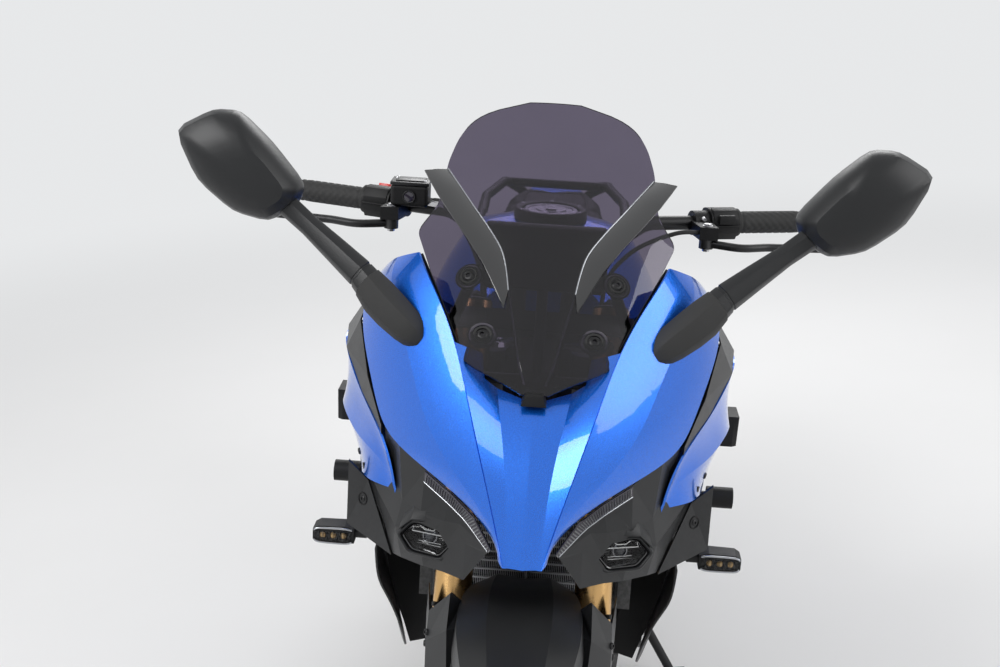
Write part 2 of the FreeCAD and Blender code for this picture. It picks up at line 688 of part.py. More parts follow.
HUGGER = (  # degrees back from straight up, half width, depth of the sides
    (-86, 88, 12), (-66, 94, 28), (-40, 96, 34), (-16, 93, 26), (-2, 84, 14))
HUGGER_GAP = 14.0
HUGGER_FOOT = V(0, 1150, 368)
GUARD = (  # y and z of the chain guard's top at its ends
    (930, 480), (1400, 452))
GUARD_T = 3.0


def rear_hugger():
    """The guard over the front of the rear tyre and the chain guard, both on the swingarm."""
    arch = wheel_arch(REAR_AXLE, REAR_TYRE_R + HUGGER_GAP, HUGGER)
    foot = rod(HUGGER_FOOT + V(86, 0, 0), HUGGER_FOOT + V(SWINGARM_INNER_X - SEAT_GAP, 0, 0), 9)
    inner_x = CHAIN_X - CHAIN_HALF_W - 3
    seat_x = BRACE_INNER_X - SEAT_GAP
    flange_x = CHAIN_X + CHAIN_HALF_W + 3
    (y0, z0), (y1, z1) = GUARD
    top = side_plate([(y0, z0 - GUARD_T), (y1, z1 - GUARD_T), (y1, z1), (y0, z0)], inner_x, seat_x)
    flange = side_plate([(y0 + 8, z0 - 18), (y1, z1 - 16), (y1, z1), (y0, z0)], flange_x, flange_x + GUARD_T)
    return [fuse([arch] + pair(foot)), fuse([top, flange])]


@built_once
def engine():
    """Crankcase, forward-leaning cylinders and head as one mass with its sump."""
    w = ENGINE_HALF_W
    case = side_plate([(408, 330), (452, 262), (640, 236), (800, 262), (846, 330), (840, 430),
                       (760, 500), (610, 512), (470, 486), (420, 430)], -w, w)
    cylinders = side_plate([(452, 470), (610, 505), (572, 640), (412, 604)], -w + 12, w - 12)
    head = side_plate([(402, 600), (586, 640), (560, 742), (520, 762), (416, 738), (392, 700)],
                      -w + 4, w - 4)
    sump = side_plate([(500, 245), (660, 245), (640, 190), (520, 190)], -70, 70)
    room = side_plate([(726, 340), (860, 320), (860, 520), (726, 500)], CHAIN_X - 20, ENGINE_HALF_W + 1)
    sprocket = Part.makeCylinder(pitch_radius(FRONT_TEETH) - CHAIN_HALF_H - SEAT_GAP, 28,
                                 V(CHAIN_X - 21, SPROCKET_Y, SPROCKET_Z), X_AXIS)
    return carved(fuse([fuse([case, cylinders, head, sump]).cut(room), sprocket]), frame_main())


def engine_covers():
    """Round clutch and generator covers with stepped rims, and the sprocket cover."""
    w = ENGINE_HALF_W + SEAT_GAP
    clutch = fuse([Part.makeCylinder(88, 34, V(-w, 690, 376), V(-1, 0, 0)),
                   Part.makeCylinder(66, 48, V(-w, 690, 376), V(-1, 0, 0)),
                   Part.makeCylinder(52, 26, V(-w, 520, 372), V(-1, 0, 0))])
    generator = fuse([Part.makeCylinder(76, 40, V(w, 520, 372), X_AXIS),
                      Part.makeCylinder(54, 54, V(w, 520, 372), X_AXIS)])
    sprocket = side_plate([(620, 330), (700, 300), (780, 320), (800, 480), (700, 500), (630, 460)],
                          w, w + 30)
    return [carved(cover, frame_main()) for cover in (clutch, generator, sprocket)]


def radiator():
    """A finned core between two side tanks."""
    core = side_plate([(324, 470), (350, 474), (374, 716), (348, 712)], -142, 142)
    tank = side_plate([(320, 462), (354, 466), (380, 724), (346, 720)], 142, 170)
    fins = []
    for i in range(18):
        share = (i + 0.5) / 18
        y, z = 324 + 24 * share, 470 + 242 * share
        fins.append(Part.makeBox(280, 6, 6, V(-140, y - 2, z - 3)))
    foot = carved(side_plate([(340, 492), (446, 500), (446, 516), (344, 510)], 146, 156), engine())
    hook = carved(side_plate([(350, 688), (372, 712), (500, 790), (506, 770)], 146, 156),
                  frame_main(), engine())
    brackets = pair(largest(foot)) + pair(largest(hook))
    return fuse([core.cut(Part.makeCompound(fins)), tank, mirrored(tank)] + brackets)


HEADER_X = (-112.0, -38.0, 38.0, 112.0)
HEADER_R = 19.0


def exhaust_headers():
    """Four pipes from the head, down in front of the engine and into one collector."""
    pipes = []
    for x in HEADER_X:
        path = [V(x, 432, 640), V(x, 398, 604), V(x * 0.98, 396, 400), V(x * 0.72, 420, 214),
                V(x * 0.5, 500, 168), V(x * 0.42, 640, 166)]
        pipes.append(bent_tube(path, HEADER_R, 90))
    box = loft([[V(a * 72, 600, 166 + b * 24) for a, b in ((-1, -1), (1, -1), (1, 1), (-1, 1))],
                [V(a * 92, 680, 178 + b * 34) for a, b in ((-1, -1), (1, -1), (1, 1), (-1, 1))],
                [V(a * 88 - 6, 800, 180 + b * 34) for a, b in ((-1, -1), (1, -1), (1, 1), (-1, 1))],
                [V(a * 34 - 70, 900, 200 + b * 28) for a, b in ((-1, -1), (1, -1), (1, 1), (-1, 1))]], True)
    outlet = bent_tube([V(-76, 880, 202), V(-100, 930, 214), V(-190, 1010, 250), V(-212, 1050, 266)], 24, 60)
    return carved(fuse(pipes + [box, outlet]), engine(), muffler())


@built_once
def muffler():
    """A short five-sided silencer, rising to the rear on the right side."""
    def ring(y, x, z, half_x, half_z):
        return [V(x + a * half_x, y, z + b * half_z) for a, b in
                ((-1, -0.5), (-0.5, -1), (0.6, -1), (1, -0.4), (1, 0.5), (0.4, 1), (-0.7, 1), (-1, 0.6))]
    body = loft([ring(1050.3, -214, 268, 32, 36), ring(1110, -222, 290, 50, 58),
                 ring(1300, -228, 345, 54, 66), ring(1440, -226, 388, 50, 62)])
    cap = loft([ring(1440, -226, 388, 44, 56), ring(1466, -226, 396, 38, 46)], True)
    outlet = tube(V(-236, 1440, 392), V(-236, 1480, 404), 24, 20)
    return fuse([body, cap, outlet]).cut(rod(V(-236, 1446, 394), V(-236, 1500, 410), 20))


SHOCK_LOW = V(0, 960, 427)
SHOCK_HIGH = V(0, 905, 656)
SHOCK_PIN_R = 12.0
COILS = 7


def rear_shock():
    """Damper with its spring, hung from the subframe's cross tube and standing on the swingarm."""
    low = SHOCK_LOW + Z_AXIS * SEAT_GAP
    along = (SHOCK_HIGH - low).normalize()
    across = along.cross(X_AXIS).normalize()
    step = 20.0
    outline = [low + along * 30, low + along * 30 + across * 33, low + along * 37 + across * 33]
    for i in range(COILS):
        foot = 40 + step * i
        outline += [low + along * (foot + up) + across * out
                    for up, out in ((0, 24), (6, 35), (13, 35), (19, 24))]
    top = 40 + step * COILS
    outline += [low + along * top + across * 33, low + along * (top + 8) + across * 33,
                low + along * (top + 8)]
    spring = Part.Face(polygon(outline)).revolve(low, along, 360)
    body = rod(low + along * 6, SHOCK_HIGH, 15)
    eye = rod(SHOCK_HIGH - X_AXIS * 18, SHOCK_HIGH + X_AXIS * 18, 22)
    bore = rod(SHOCK_HIGH - X_AXIS * 18, SHOCK_HIGH + X_AXIS * 18, SHOCK_PIN_R + SEAT_GAP)
    foot = Part.makeBox(44, 50, 24, low - V(22, 25, 0))
    return fuse([fuse([body, eye, foot]).cut(bore), spring])


@built_once
def subframe():
    """Two bolted rails and two struts that carry the seats."""
    parts = []
    for side in (1, -1):
        rail = [V(side * 190, 740, 600), V(side * 120, 905, 660), V(side * 96, 1220, 716)]
        strut = [V(side * 140, 870, 480), V(side * 104, 1130, 690)]
        parts.append(bent_tube(rail, 13, 80))
        parts.append(rod(strut[0], strut[1], 11))
    cross = [rod(V(-125, 905, 656), V(125, 905, 656), SHOCK_PIN_R),
             rod(V(-100, 1180, 712), V(100, 1180, 712), 10)]
    return carved(fuse(parts + cross), frame_main())


# Bodywork

def nose_ridge():
    """Columns: x, y, z of the sharp ridge from the nose tip up to the screen's side."""
    return ((24, -122, 735), (40, -101, 790), (57, -78, 843), (84, -32, 922),
            (108, 15, 985), (140, 60, 1040), (168, 105, 1080))


COWL_EDGE = (  # x, y, z of the upper cowl's outer edge, and the panel's bulge, beside each ridge point
    (31, -112, 741, 0.5),
    (62, -80, 784, 1.5),
    (136, -20, 820, 5.0),
    (202, 50, 854, 10.0),
    (228, 95, 908, 12.0),
    (248, 150, 973, 12.0),
    (223, 190, 1037, 8.0),
)


CREASE_SHARE = 0.45


def upper_cowl_side():
    """The painted panel from the ridge out to the black trim, with a crease along it."""
    wires = []
    for (rx, ry, rz), (ex, ey, ez, bulge) in zip(nose_ridge(), COWL_EDGE):
        plane = slanted(ry, rz, ey, ez)
        depth = math.hypot(ey - ry, ez - rz)
        width = ex - rx - SEAM
        reach = math.hypot(width, depth)
        lift = bulge * 1.15
        crease = (rx + SEAM + CREASE_SHARE * width + lift * depth / reach,
                  CREASE_SHARE * depth - lift * width / reach, bulge * 0.12)
        wires.append(skin_wire(plane, [(ex, depth, bulge * 0.2), crease, (rx + SEAM, 0, 0)], SKIN))
    return skin_loft(wires)


NOSE_VALLEY = (  # tongue half width, tongue depth and centre depth, square to the ridge line
    (18, 1.0, -1.0),
    (24, 3.0, 1.0),
    (30, 9.0, 6.0),
    (44, 26.0, 24.0),
    (52, 44.0, 44.0),
)


@built_once
def nose_cowl():
    """The middle panel: a tongue that sinks between the two ridges and ends under the screen."""
    wires = []
    for (rx, ry, rz), (ex, ey, ez, _), (tx, th, ch) in zip(nose_ridge(), COWL_EDGE, NOSE_VALLEY):
        plane = slanted(ry, rz, ey, ez)
        path = [(rx - SEAM, 0, 0), (tx, th, 0), (0, ch, 0), (-tx, th, 0), (-rx + SEAM, 0, 0)]
        wires.append(skin_wire(plane, path, SKIN))
    return largest(skin_loft(wires).cut(screen_block(SEAT_GAP)))


@built_once
def upper_cowl():
    """The nose tongue and the two side panels."""
    return [nose_cowl()] + pair(carved(upper_cowl_side(), nose_cowl(), mirrors()[0], windscreen()))


SIDE_COWL = (  # y; x and z of the top edge; of the widest line; of the bottom edge; bulge
    (30, 181, 773, 179.5, 768, 178, 762, 0.3),
    (60, 203, 830, 202, 795, 204, 760, 1.0),
    (90, 221, 850, 226, 804, 227, 757, 2.0),
    (130, 242, 868, 248, 808, 238, 749, 3.0),
    (200, 274, 906, 277, 820, 248, 722, 5.0),
    (300, 282, 912, 284, 800, 246, 684, 6.0),
    (400, 268, 900, 280, 780, 240, 660, 6.0),
    (452, 252, 884, 266, 764, 232, 646, 5.0),
)


@built_once
def side_cowls():
    """The long painted flank panels."""
    wires = []
    for y, tx, tz, wx, wz, bx, bz, bulge in SIDE_COWL:
        wires.append(skin_wire(upright(y), [(bx, bz, bulge), (wx, wz, bulge), (tx, tz, 0)], SKIN))
    return pair(skin_loft(wires))


TRIM = (  # x, y, z beside the upper cowl's edge, and beside the side cowl's top edge
    ((206, 56, 848), (206, 62, 833)),
    ((232, 98, 902), (244, 128, 871)),
    ((252, 153, 967), (278, 200, 910)),
    ((238, 182, 1006), (286, 268, 924)),
    ((236, 240, 1000), (284, 330, 918)),
)


def cowl_trims():
    """Black strips that close the seam between the upper and side cowls."""
    rows = [[V(*inner), V(*outer)] for inner, outer in TRIM]
    return pair(carved(plate_grid(rows, SKIN, INWARDS), upper_cowl()[1], side_cowls()[0]))


LOWER_COWL = (  # y; x and z at the top, at the knee and at the bottom
    (206, 232, 700, 228, 640, 226, 592),
    (260, 236, 684, 230, 590, 214, 488),
    (310, 236, 670, 230, 530, 192, 398),
    (350, 236, 662, 232, 500, 190, 352),
    (430, 234, 640, 234, 530, 226, 410),
    (500, 230, 610, 233, 550, 230, 500),
)


@built_once
def lower_cowls():
    """Black panels that flank the radiator and curve in under it."""
    wires = []
    for y, tx, tz, kx, kz, bx, bz in LOWER_COWL:
        wires.append(skin_wire(upright(y), [(bx, bz, 4), (kx, kz, 3), (tx, tz, 0)], SKIN))
    return pair(carved(skin_loft(wires), crash_pads()))


BACKWARDS = V(0, 1, 0.2)
INWARDS = V(-0.7, 0.7, -0.15)


def plate_grid(rows, wall, towards=BACKWARDS):
    """A faceted panel: a grid of points, thickened towards its hidden side, as one closed solid."""
    back = V(*towards).normalize() * wall
    rear = [[p + back for p in row] for row in rows]
    faces = []

    def add(a, b, c):
        if (b - a).cross(c - a).Length > 1e-3:
            faces.append(Part.Face(polygon([a, b, c])))

    def quad(a, b, c, d):
        add(a, b, c)
        add(a, c, d)
    last_row, last = len(rows) - 1, len(rows[0]) - 1
    for i in range(last_row):
        for j in range(last):
            quad(rows[i][j], rows[i][j + 1], rows[i + 1][j + 1], rows[i + 1][j])
            quad(rear[i][j], rear[i + 1][j], rear[i + 1][j + 1], rear[i][j + 1])
        quad(rows[i][0], rows[i + 1][0], rear[i + 1][0], rear[i][0])
        quad(rows[i][last], rear[i][last], rear[i + 1][last], rows[i + 1][last])
    for j in range(last):
        quad(rows[0][j], rear[0][j], rear[0][j + 1], rows[0][j + 1])
        quad(rows[last_row][j], rows[last_row][j + 1], rear[last_row][j + 1], rear[last_row][j])
    shell = Part.makeShell(faces)
    shell.sewShape()
    solid = Part.makeSolid(Part.Shell(shell.Faces))
    if solid.Volume < 0:
        solid.reverse()
    return solid


LAMP_CENTRE = V(128, -20, 723)
LAMP_HEX = ((-36, 0), (-20, 19), (22, 21), (37, 2), (20, -19), (-18, -20))
LAMP_DEPTH = 62.0
LAMP_SINK = 4.0
LAMP_AIM = V(0.28, -0.93, 0.1).normalize()


def lamp_prism(grow, start, depth):
    """The lamp's six-sided outline, pushed back from a start ahead of its centre."""
    side = Z_AXIS.cross(LAMP_AIM * -1).normalize()
    up = (LAMP_AIM * -1).cross(side).normalize() * -1
    points = []
    for u, v in LAMP_HEX:
        scale = 1 + grow / math.hypot(u, v)
        points.append(LAMP_CENTRE + LAMP_AIM * start + side * (u * scale) + up * (v * scale))
    return prism(points, LAMP_AIM * -depth)


HEADLIGHT_COWL = (  # x, y, z at the painted cowl's edge, along the brow, level with the lamp, at the foot
    ((41, -102, 751), (44, -100, 746), (47, -96, 741), (50, -91, 735)),
    ((66, -76, 782), (84, -68, 767), (76, -72, 742), (76, -68, 688)),
    ((98, -50, 801), (106, -54, 763), (104, -46, 725), (106, -40, 684)),
    ((136, -20, 817), (139, -27, 760), (140, -22, 722), (134, -14, 677)),
    ((176, 22, 838), (168, 10, 760), (176, 8, 722), (168, 20, 671)),
    ((200, 58, 846), (193, 64, 800), (221, 91, 755), (182, 40, 667)),
)


@built_once
def headlight_cowls():
    """Black faceted panels between the painted cowls, with a brow over each lamp."""
    rows = [[V(*p) for p in row] for row in HEADLIGHT_COWL]
    panel = plate_grid(rows, SKIN)
    return pair(largest(carved(panel.cut(lamp_prism(SEAT_GAP, 40, 120)), upper_cowl()[1], side_cowls()[0])))


STRIP_W = 14.0
STRIP_T = 2.0


def day_strip():
    """The slim day lamp along the painted cowl's edge, lying on the lamp cowl."""
    lift = V(*BACKWARDS).normalize() * -(STRIP_T + SEAT_GAP)
    rows = []
    for top, brow, _, _ in HEADLIGHT_COWL[:4]:
        top, brow = V(*top), V(*brow)
        share = min(1.0, STRIP_W / (brow - top).Length)
        rows.append([top + lift, top + (brow - top) * share + lift])
    return largest(carved(plate_grid(rows, STRIP_T), upper_cowl()[1], nose_cowl(), headlight_cowls()[0]))


@built_once
def headlights():
    """Six-sided lamp units, hollow at the front behind a clear cover."""
    body = lamp_prism(0, 8, LAMP_DEPTH + 8).cut(lamp_prism(-3, 10, 34))
    cover = lamp_prism(-3 - SEAT_GAP, 7, 3)
    eye = Part.makeCone(9, 14, 23, LAMP_CENTRE - LAMP_AIM * 2, LAMP_AIM * -1)
    return pair(fuse([body, eye])) + pair(cover) + pair(day_strip())


TANK = (  # y; half width and height of the bottom, of the widest line, of the shoulder; height of the crown
    (462, 92, 866, 106, 890, 74, 944, 954),
    (530, 150, 838, 176, 902, 114, 998, 1018),
    (610, 164, 806, 196, 892, 130, 1016, 1043),
    (700, 148, 782, 178, 868, 122, 1004, 1031),
    (790, 118, 768, 138, 846, 102, 946, 966),
    (887.7, 96, 764, 106, 820, 78, 850, 860),
)


@built_once
def fuel_tank():
    """The rounded tank, narrow where the knees go, on two feet that stand on the spars."""
    wires = []
    for y, bx, bz, sx, sz, tx, tz, cz in TANK:
        path = [(-bx, bz, 0), (bx, bz, -3), (sx, sz, -7), (tx, tz, -2), (0, cz, -2),
                (-tx, tz, -7), (-sx, sz, -3)]
        wires.append(closed_wire(upright(y), path))
    foot = largest(carved(rod(V(190, 520, 792), V(150, 520, 856), 9), frame_main()))
    return fuse([skin_loft(wires)] + pair(foot))


CAP_CENTRE = V(0, 606, 1039)
CAP_R = 62.0


def filler_cap():
    """The raised filler ring with its hinged lid."""
    ring = tube(CAP_CENTRE, CAP_CENTRE + V(0, 0, 12), CAP_R, CAP_R - 14)
    lid = Part.makeCylinder(CAP_R - 16, 10, CAP_CENTRE, Z_AXIS)
    return [carved(piece, fuel_tank()) for piece in (ring, lid)]


SCREEN_TIP = V(0, -10, 927)
SCREEN_RISE = V(0, 330, 334).normalize()
SCREEN_IN = V(0, SCREEN_RISE.z, -SCREEN_RISE.y)
SCREEN_R = 440.0
SCREEN_T = 3.5
SCREEN_OUTLINE = (  # x, and how far up the screen from its tip
    (12, 0), (92, 34), (124, 110), (180, 262), (154, 300), (146, 375), (123, 438), (78, 460), (30, 469))


def screen_point(x, up, lift=0.0):
    """A point on the screen's outer face, or lifted off it."""
    angle = math.asin(x / SCREEN_R)
    radius = SCREEN_R + lift
    return (SCREEN_TIP + SCREEN_RISE * up + SCREEN_IN * (SCREEN_R - radius * math.cos(angle))
            + V(radius * math.sin(angle), 0, 0))


SCREEN_LENGTH = 560.0


def screen_cylinder(radius):
    foot = SCREEN_TIP + SCREEN_IN * SCREEN_R - SCREEN_RISE * 40
    return Part.makeCylinder(radius, SCREEN_LENGTH, foot, SCREEN_RISE)


def screen_block(lift):
    """All the room behind the screen's outer face, or behind one lifted off it."""
    half = [SCREEN_TIP + V(x, 0, 0) + SCREEN_RISE * up - SCREEN_IN * 30 for x, up in SCREEN_OUTLINE]
    other = [V(-p.x, p.y, p.z) for p in half[::-1]]
    return screen_cylinder(SCREEN_R + lift).common(prism(half + other, SCREEN_IN * 130))


@built_once
def windscreen():
    """A curved sheet, cut to the screen's outline."""
    return screen_block(0).cut(screen_cylinder(SCREEN_R - SCREEN_T))


BLADE = (  # inner x and place up the screen, outer x and place, lift of the outer edge
    (44, 150, 50, 128, 3),
    (58, 214, 74, 196, 13),
    (102, 288, 122, 274, 19),
    (146, 360, 170, 352, 21),
)
BLADE_T = 4.0


def screen_blades():
    """Two folded fins that stand on the screen."""
    sections = []
    for x_in, up_in, x_out, up_out, lift in BLADE:
        foot = screen_point(x_in, up_in, SEAT_GAP)
        edge = screen_point(x_out, up_out, lift)
        across = (edge - foot).normalize()
        behind = across.cross(SCREEN_RISE).normalize() * BLADE_T
        if behind.dot(SCREEN_IN) > 0:
            behind = behind * -1
        sections.append([foot, edge, edge + behind, foot + behind])
    return pair(carved(loft(sections, True), windscreen()))


MIRROR_RIM = (  # x and z of the corners that the housing's rim rounds off
    (518, 1220), (464, 1250), (424, 1250), (378, 1208), (330, 1150), (338, 1122), (378, 1094),
    (432, 1106), (486, 1150))
MIRROR_Y = 152.0
MIRROR_ARM = (  # x, y, z along the boot and the arm, half width and half depth there
    (168, 54, 984, 19, 17),
    (212, 76, 1016, 25, 21),
    (248, 96, 1050, 20, 15),
    (330, 136, 1106, 14, 11),
    (376, 149, 1140, 17, 12),
)
ARM_RUN = V(194, 86, 148).normalize()


def mirror_ring(scale, y):
    cx = sum(x for x, _ in MIRROR_RIM) / len(MIRROR_RIM)
    cz = sum(z for _, z in MIRROR_RIM) / len(MIRROR_RIM)
    return arc_ring([V(cx + (x - cx) * scale, y, cz + (z - cz) * scale) for x, z in MIRROR_RIM])


@built_once
def mirrors():
    """Rounded kite-shaped housings on tapered arms, each with a boot on the cowl."""
    housing = skin_loft([mirror_ring(0.5, MIRROR_Y - 36), mirror_ring(0.86, MIRROR_Y - 18),
                         mirror_ring(0.98, MIRROR_Y + 2), mirror_ring(0.99, MIRROR_Y + 16)])
    recess = skin_loft([mirror_ring(0.94, MIRROR_Y + 12), mirror_ring(0.94, MIRROR_Y + 20)], True)
    across = ARM_RUN.cross(Y_AXIS).normalize()
    depth = ARM_RUN.cross(across).normalize()
    rings = []
    for x, y, z, half, thick in MIRROR_ARM:
        turns = [math.pi * (i + 0.5) / 4 for i in range(8)]
        rings.append(arc_ring([V(x, y, z) + across * (half * 1.05 * math.cos(a))
                               + depth * (thick * 1.05 * math.sin(a)) for a in turns]))
    return pair(fuse([housing.cut(recess), skin_loft(rings)]))


def mirror_glasses():
    front = mirror_ring(0.935, MIRROR_Y + 12 + SEAT_GAP)
    return pair(skin_loft([front, mirror_ring(0.935, MIRROR_Y + 15)], True))


WINGLET = ((226, 91, 751), (256, 104, 773), (257, 105, 677), (184, 39, 664))
WINGLET_T = 5.0


def side_winglets():
    """Flat winglets below the painted flanks, folded towards the lamp cowls."""
    rows = [[V(*WINGLET[0]), V(*WINGLET[1])], [V(*WINGLET[3]), V(*WINGLET[2])]]
    return pair(largest(carved(plate_grid(rows, WINGLET_T), headlight_cowls()[0], side_cowls()[0])))


def signal_body(side, x, front_y, rear_y, z):
    """A slim lamp housing that points sideways, thickest near its stalk."""
    sections = []
    for out, half in ((0, 11), (14, 14), (52, 13), (60, 8)):
        sections.append([V(side * (x + out), front_y, z - half), V(side * (x + out), rear_y, z - half),
                         V(side * (x + out), rear_y, z + half), V(side * (x + out), front_y, z + half)])
    return loft(sections, True)


def turn_signals():
    """Slim signals on short stalks, in front and at the plate bracket."""
    front = []
    for side in (1, -1):
        stalk = fuse([rod(V(side * 229, 212, 652), V(side * 231, 130, 652), 7),
                      rod(V(side * 231, 130, 652), V(side * 252, 130, 652), 8)])
        stalk = carved(stalk, lower_cowls())
        body = signal_body(side, 248, 118, 146, 650)
        front.append(fuse([stalk, body]))
    rear = []
    for side in (1, -1):
        stalk = rod(V(side * 60, 1772, 640), V(side * 120, 1776, 640), 8)
        body = signal_body(side, 116, 1764, 1790, 640)
        rear.append(carved(fuse([stalk, body]), plate_bracket()))
    return front + rear


@built_once
def crash_pads():
    """Two pads a side on bolts from the frame and the engine."""
    upper_bolt = rod(V(206, 560, 700), V(312, 526, 708), 9)
    upper = loft([[V(x, y, z) for y, z in ((500 + c, 684), (552 - c, 684), (552, 738), (500, 738))]
                  for x, c in ((300, 2), (330, 2), (338, 8))], True)
    lower = fuse([rod(V(ENGINE_HALF_W - 20, 500, 592), V(300, 500, 592), 9),
                  rod(V(296, 500, 592), V(340, 500, 592), 18)])
    return pair(carved(fuse([upper_bolt, upper]), frame_main())) + pair(carved(lower, engine()))


STAY_R = 8.0
CROSS_Y = 137.0
CROSS_Z = 899.0
CROSS_HALF = 150.0


def cowl_stays():
    """The frame that carries the nose, from a beam on the head tube out to lamps, mirrors and panels."""
    beam = prism([steer_point(870, x, ahead) for x, ahead in ((-25, 30), (25, 30), (25, 172), (-25, 172))],
                 STEER_AXIS * 56)
    corner = V(CROSS_HALF, CROSS_Y, CROSS_Z)
    side = Part.makeSphere(STAY_R + 4, corner)
    for tip, radius, seats in ((V(178, 62, 990), STAY_R, (mirrors()[0], upper_cowl()[1])),
                               (LAMP_CENTRE - LAMP_AIM * (LAMP_DEPTH - 6), STAY_R, headlights()[:1]),
                               (screen_point(99, 176, -8), STAY_R, (windscreen(),)),
                               (V(272, 206, 850), STAY_R - 2, side_cowls()[:1])):
        side = side.fuse(largest(carved(rod(corner, tip, radius), *seats)))
    whole = carved(beam, frame_main())
    whole = whole.fuse(rod(V(-CROSS_HALF, CROSS_Y, CROSS_Z), corner, STAY_R))
    whole = whole.fuse(carved(rod(V(0, CROSS_Y, CROSS_Z), V(0, 194, 1040), STAY_R), cockpit()))
    whole = whole.fuse(side).fuse(mirrored(side)).removeSplitter()
    flank = largest(carved(rod(V(140, 400, 800), V(272, 400, 824), STAY_R), frame_main(), side_cowls()[0]))
    lower = largest(carved(rod(V(ENGINE_HALF_W - 20, 452, 560), V(232, 452, 560), STAY_R), engine(),
                           lower_cowls()[0]))
    return [whole] + pair(flank) + pair(lower)


COCKPIT_HALF_W = 88.0


def cockpit():
    """The instrument on its post behind the screen."""
    foot, head = V(COCKPIT_HALF_W, 196, 1009), V(COCKPIT_HALF_W, 246, 1096)
    across = V(2 * COCKPIT_HALF_W, 0, 0)
    return prism([foot - across, foot, head, head - across], V(0, -24, 13))


RIDER_SEAT = (  # y, half width of the base, height of the base and of the top
    (888, 88, 768, 832), (950, 108, 757, 815), (1050, 136, 751, 808),
    (1130, 142, 757, 822), (1168, 130, 790, 872))
PILLION_SEAT = (  # the same columns
    (1168.3, 112, 790, 884), (1250, 122, 818, 906), (1380, 110, 836, 920), (1480, 80, 854, 924))


def cushion(table):
    """A seat pad that widens towards its top edge, with a softly rounded top."""
    wires = []
    for y, half, low, top in table:
        path = [(-half, low, 0), (half, low, -3), (half + 11, top - 26, -6), (half - 18, top, -4),
                (18 - half, top, -6), (-half - 11, top - 26, -3)]
        wires.append(closed_wire(upright(y), path))
    return skin_loft(wires)


def rider_seat():
    return carved(cushion(RIDER_SEAT), tail_cowl(), fuel_tank(), subframe())


@built_once
def passenger_seat():
    return carved(cushion(PILLION_SEAT), tail_cowl())


SIDE_PANEL = (  # y; x and z of the top edge; of the widest line; of the bottom edge
    (874, 114, 764, 138, 730, 150, 696),
    (960, 128, 754, 150, 712, 144, 664),
    (1050, 144, 746, 154, 708, 142, 664),
    (1118, 144, 742, 148, 716, 138, 690),
)


def side_panels():
    """Black panels under the seat, each on a boss from the subframe's rail."""
    wires = []
    for y, tx, tz, wx, wz, bx, bz in SIDE_PANEL:
        wires.append(skin_wire(upright(y), [(bx, bz, 2), (wx, wz, 2), (tx, tz, 0)], SKIN))
    boss = largest(carved(rod(V(113, 985, 676), V(147.5, 985, 702), 7), subframe()))
    return pair(carved(fuse([skin_loft(wires), boss]), rider_seat(), tail_cowl()))


TAIL = (  # y; half width; bottom, side and top heights
    (1120, 118, 716, 744, 756),
    (1200, 146, 724, 790, 818),
    (1320, 140, 744, 822, 844),
    (1440, 116, 776, 848, 866),
    (1560, 84, 812, 872, 892),
    (1660, 52, 842, 884, 900),
)


@built_once
def tail_cowl():
    """The painted tail under the seats, closed at its end round the lamp."""
    sections = []
    for y, half, low, mid, top in TAIL:
        sections.append([V(-half * 0.6, y, low), V(half * 0.6, y, low), V(half, y, mid),
                         V(half * 0.82, y, top), V(-half * 0.82, y, top), V(-half, y, mid)])
    body = loft(sections)
    return carved(body, subframe())


def tail_lamp():
    return loft([[V(-x, y, z0), V(x, y, z0), V(x, y, z1), V(-x, y, z1)] for y, x, z0, z1 in
                 ((1660.3, 46, 848, 890), (1700, 34, 862, 888))])


def grab_rails():
    """Two side handles that stand on the tail."""
    rails = []
    for side in (1, -1):
        path = [V(side * 128, 1226, 838), V(side * 160, 1236, 880), V(side * 158, 1400, 908),
                V(side * 120, 1530, 924), V(side * 84, 1560, 900), V(side * 70, 1560, 886)]
        rails.append(bent_tube(path, 11, 40))
    bridge = rod(V(-110, 1540, 920), V(110, 1540, 920), 10)
    return carved(fuse(rails + [bridge]), tail_cowl(), passenger_seat())


@built_once
def plate_bracket():
    """The tail's lower arm that holds the number plate, its lamp and the rear signals."""
    arm = loft([[V(-x, y, z0), V(x, y, z0), V(x, y, z1), V(-x, y, z1)] for y, x, z0, z1 in
                ((1430, 58, 770, 820), (1560, 44, 770, 850), (1700, 38, 714, 748), (1776, 62, 618, 664))])
    arm = carved(arm, tail_cowl())
    plate = prism([V(-90, 1776, 668), V(90, 1776, 668), V(90, 1836, 548), V(-90, 1836, 548)], V(0, -5, -2.5))
    holes = [rod(V(x, 1780, 622), V(x, 1820, 642), 3.0) for x in (-45, 45)]
    return fuse([arm, plate]).cut(Part.makeCompound(holes))


def footpegs():
    """Rider and passenger pegs with their hangers."""
    pegs = []
    for side in (1, -1):
        hanger = side_plate([(862, 452), (960, 440), (1010, 372), (1000, 356), (972, 352), (862, 400)],
                            side * 157.3, side * HANGER_OUTER_X)
        peg = rod(V(side * 162, 984, 366), V(side * 252, 984, 366), 11)
        rear_hanger = side_plate([(1040, 640), (1100, 650), (1266, 520), (1262, 500), (1236, 496),
                                  (1050, 590)], side * 128, side * 137)
        rear_peg = rod(V(side * 132, 1250, 510), V(side * 232, 1250, 510), 11)
        rear_boss = rod(V(side * 112, 1060, 632), V(side * 132, 1060, 632), 14)
        pegs.append(carved(fuse([hanger, peg]), frame_main()))
        pegs.append(carved(fuse([rear_hanger, rear_peg, rear_boss]), subframe()))
    return pegs


HANGER_OUTER_X = 166.0
PEDALS = (  # side; y and z of the pedal's pivot and of its toe
    (1, 948, 380, 822, 352), (-1, 948, 380, 828, 346))


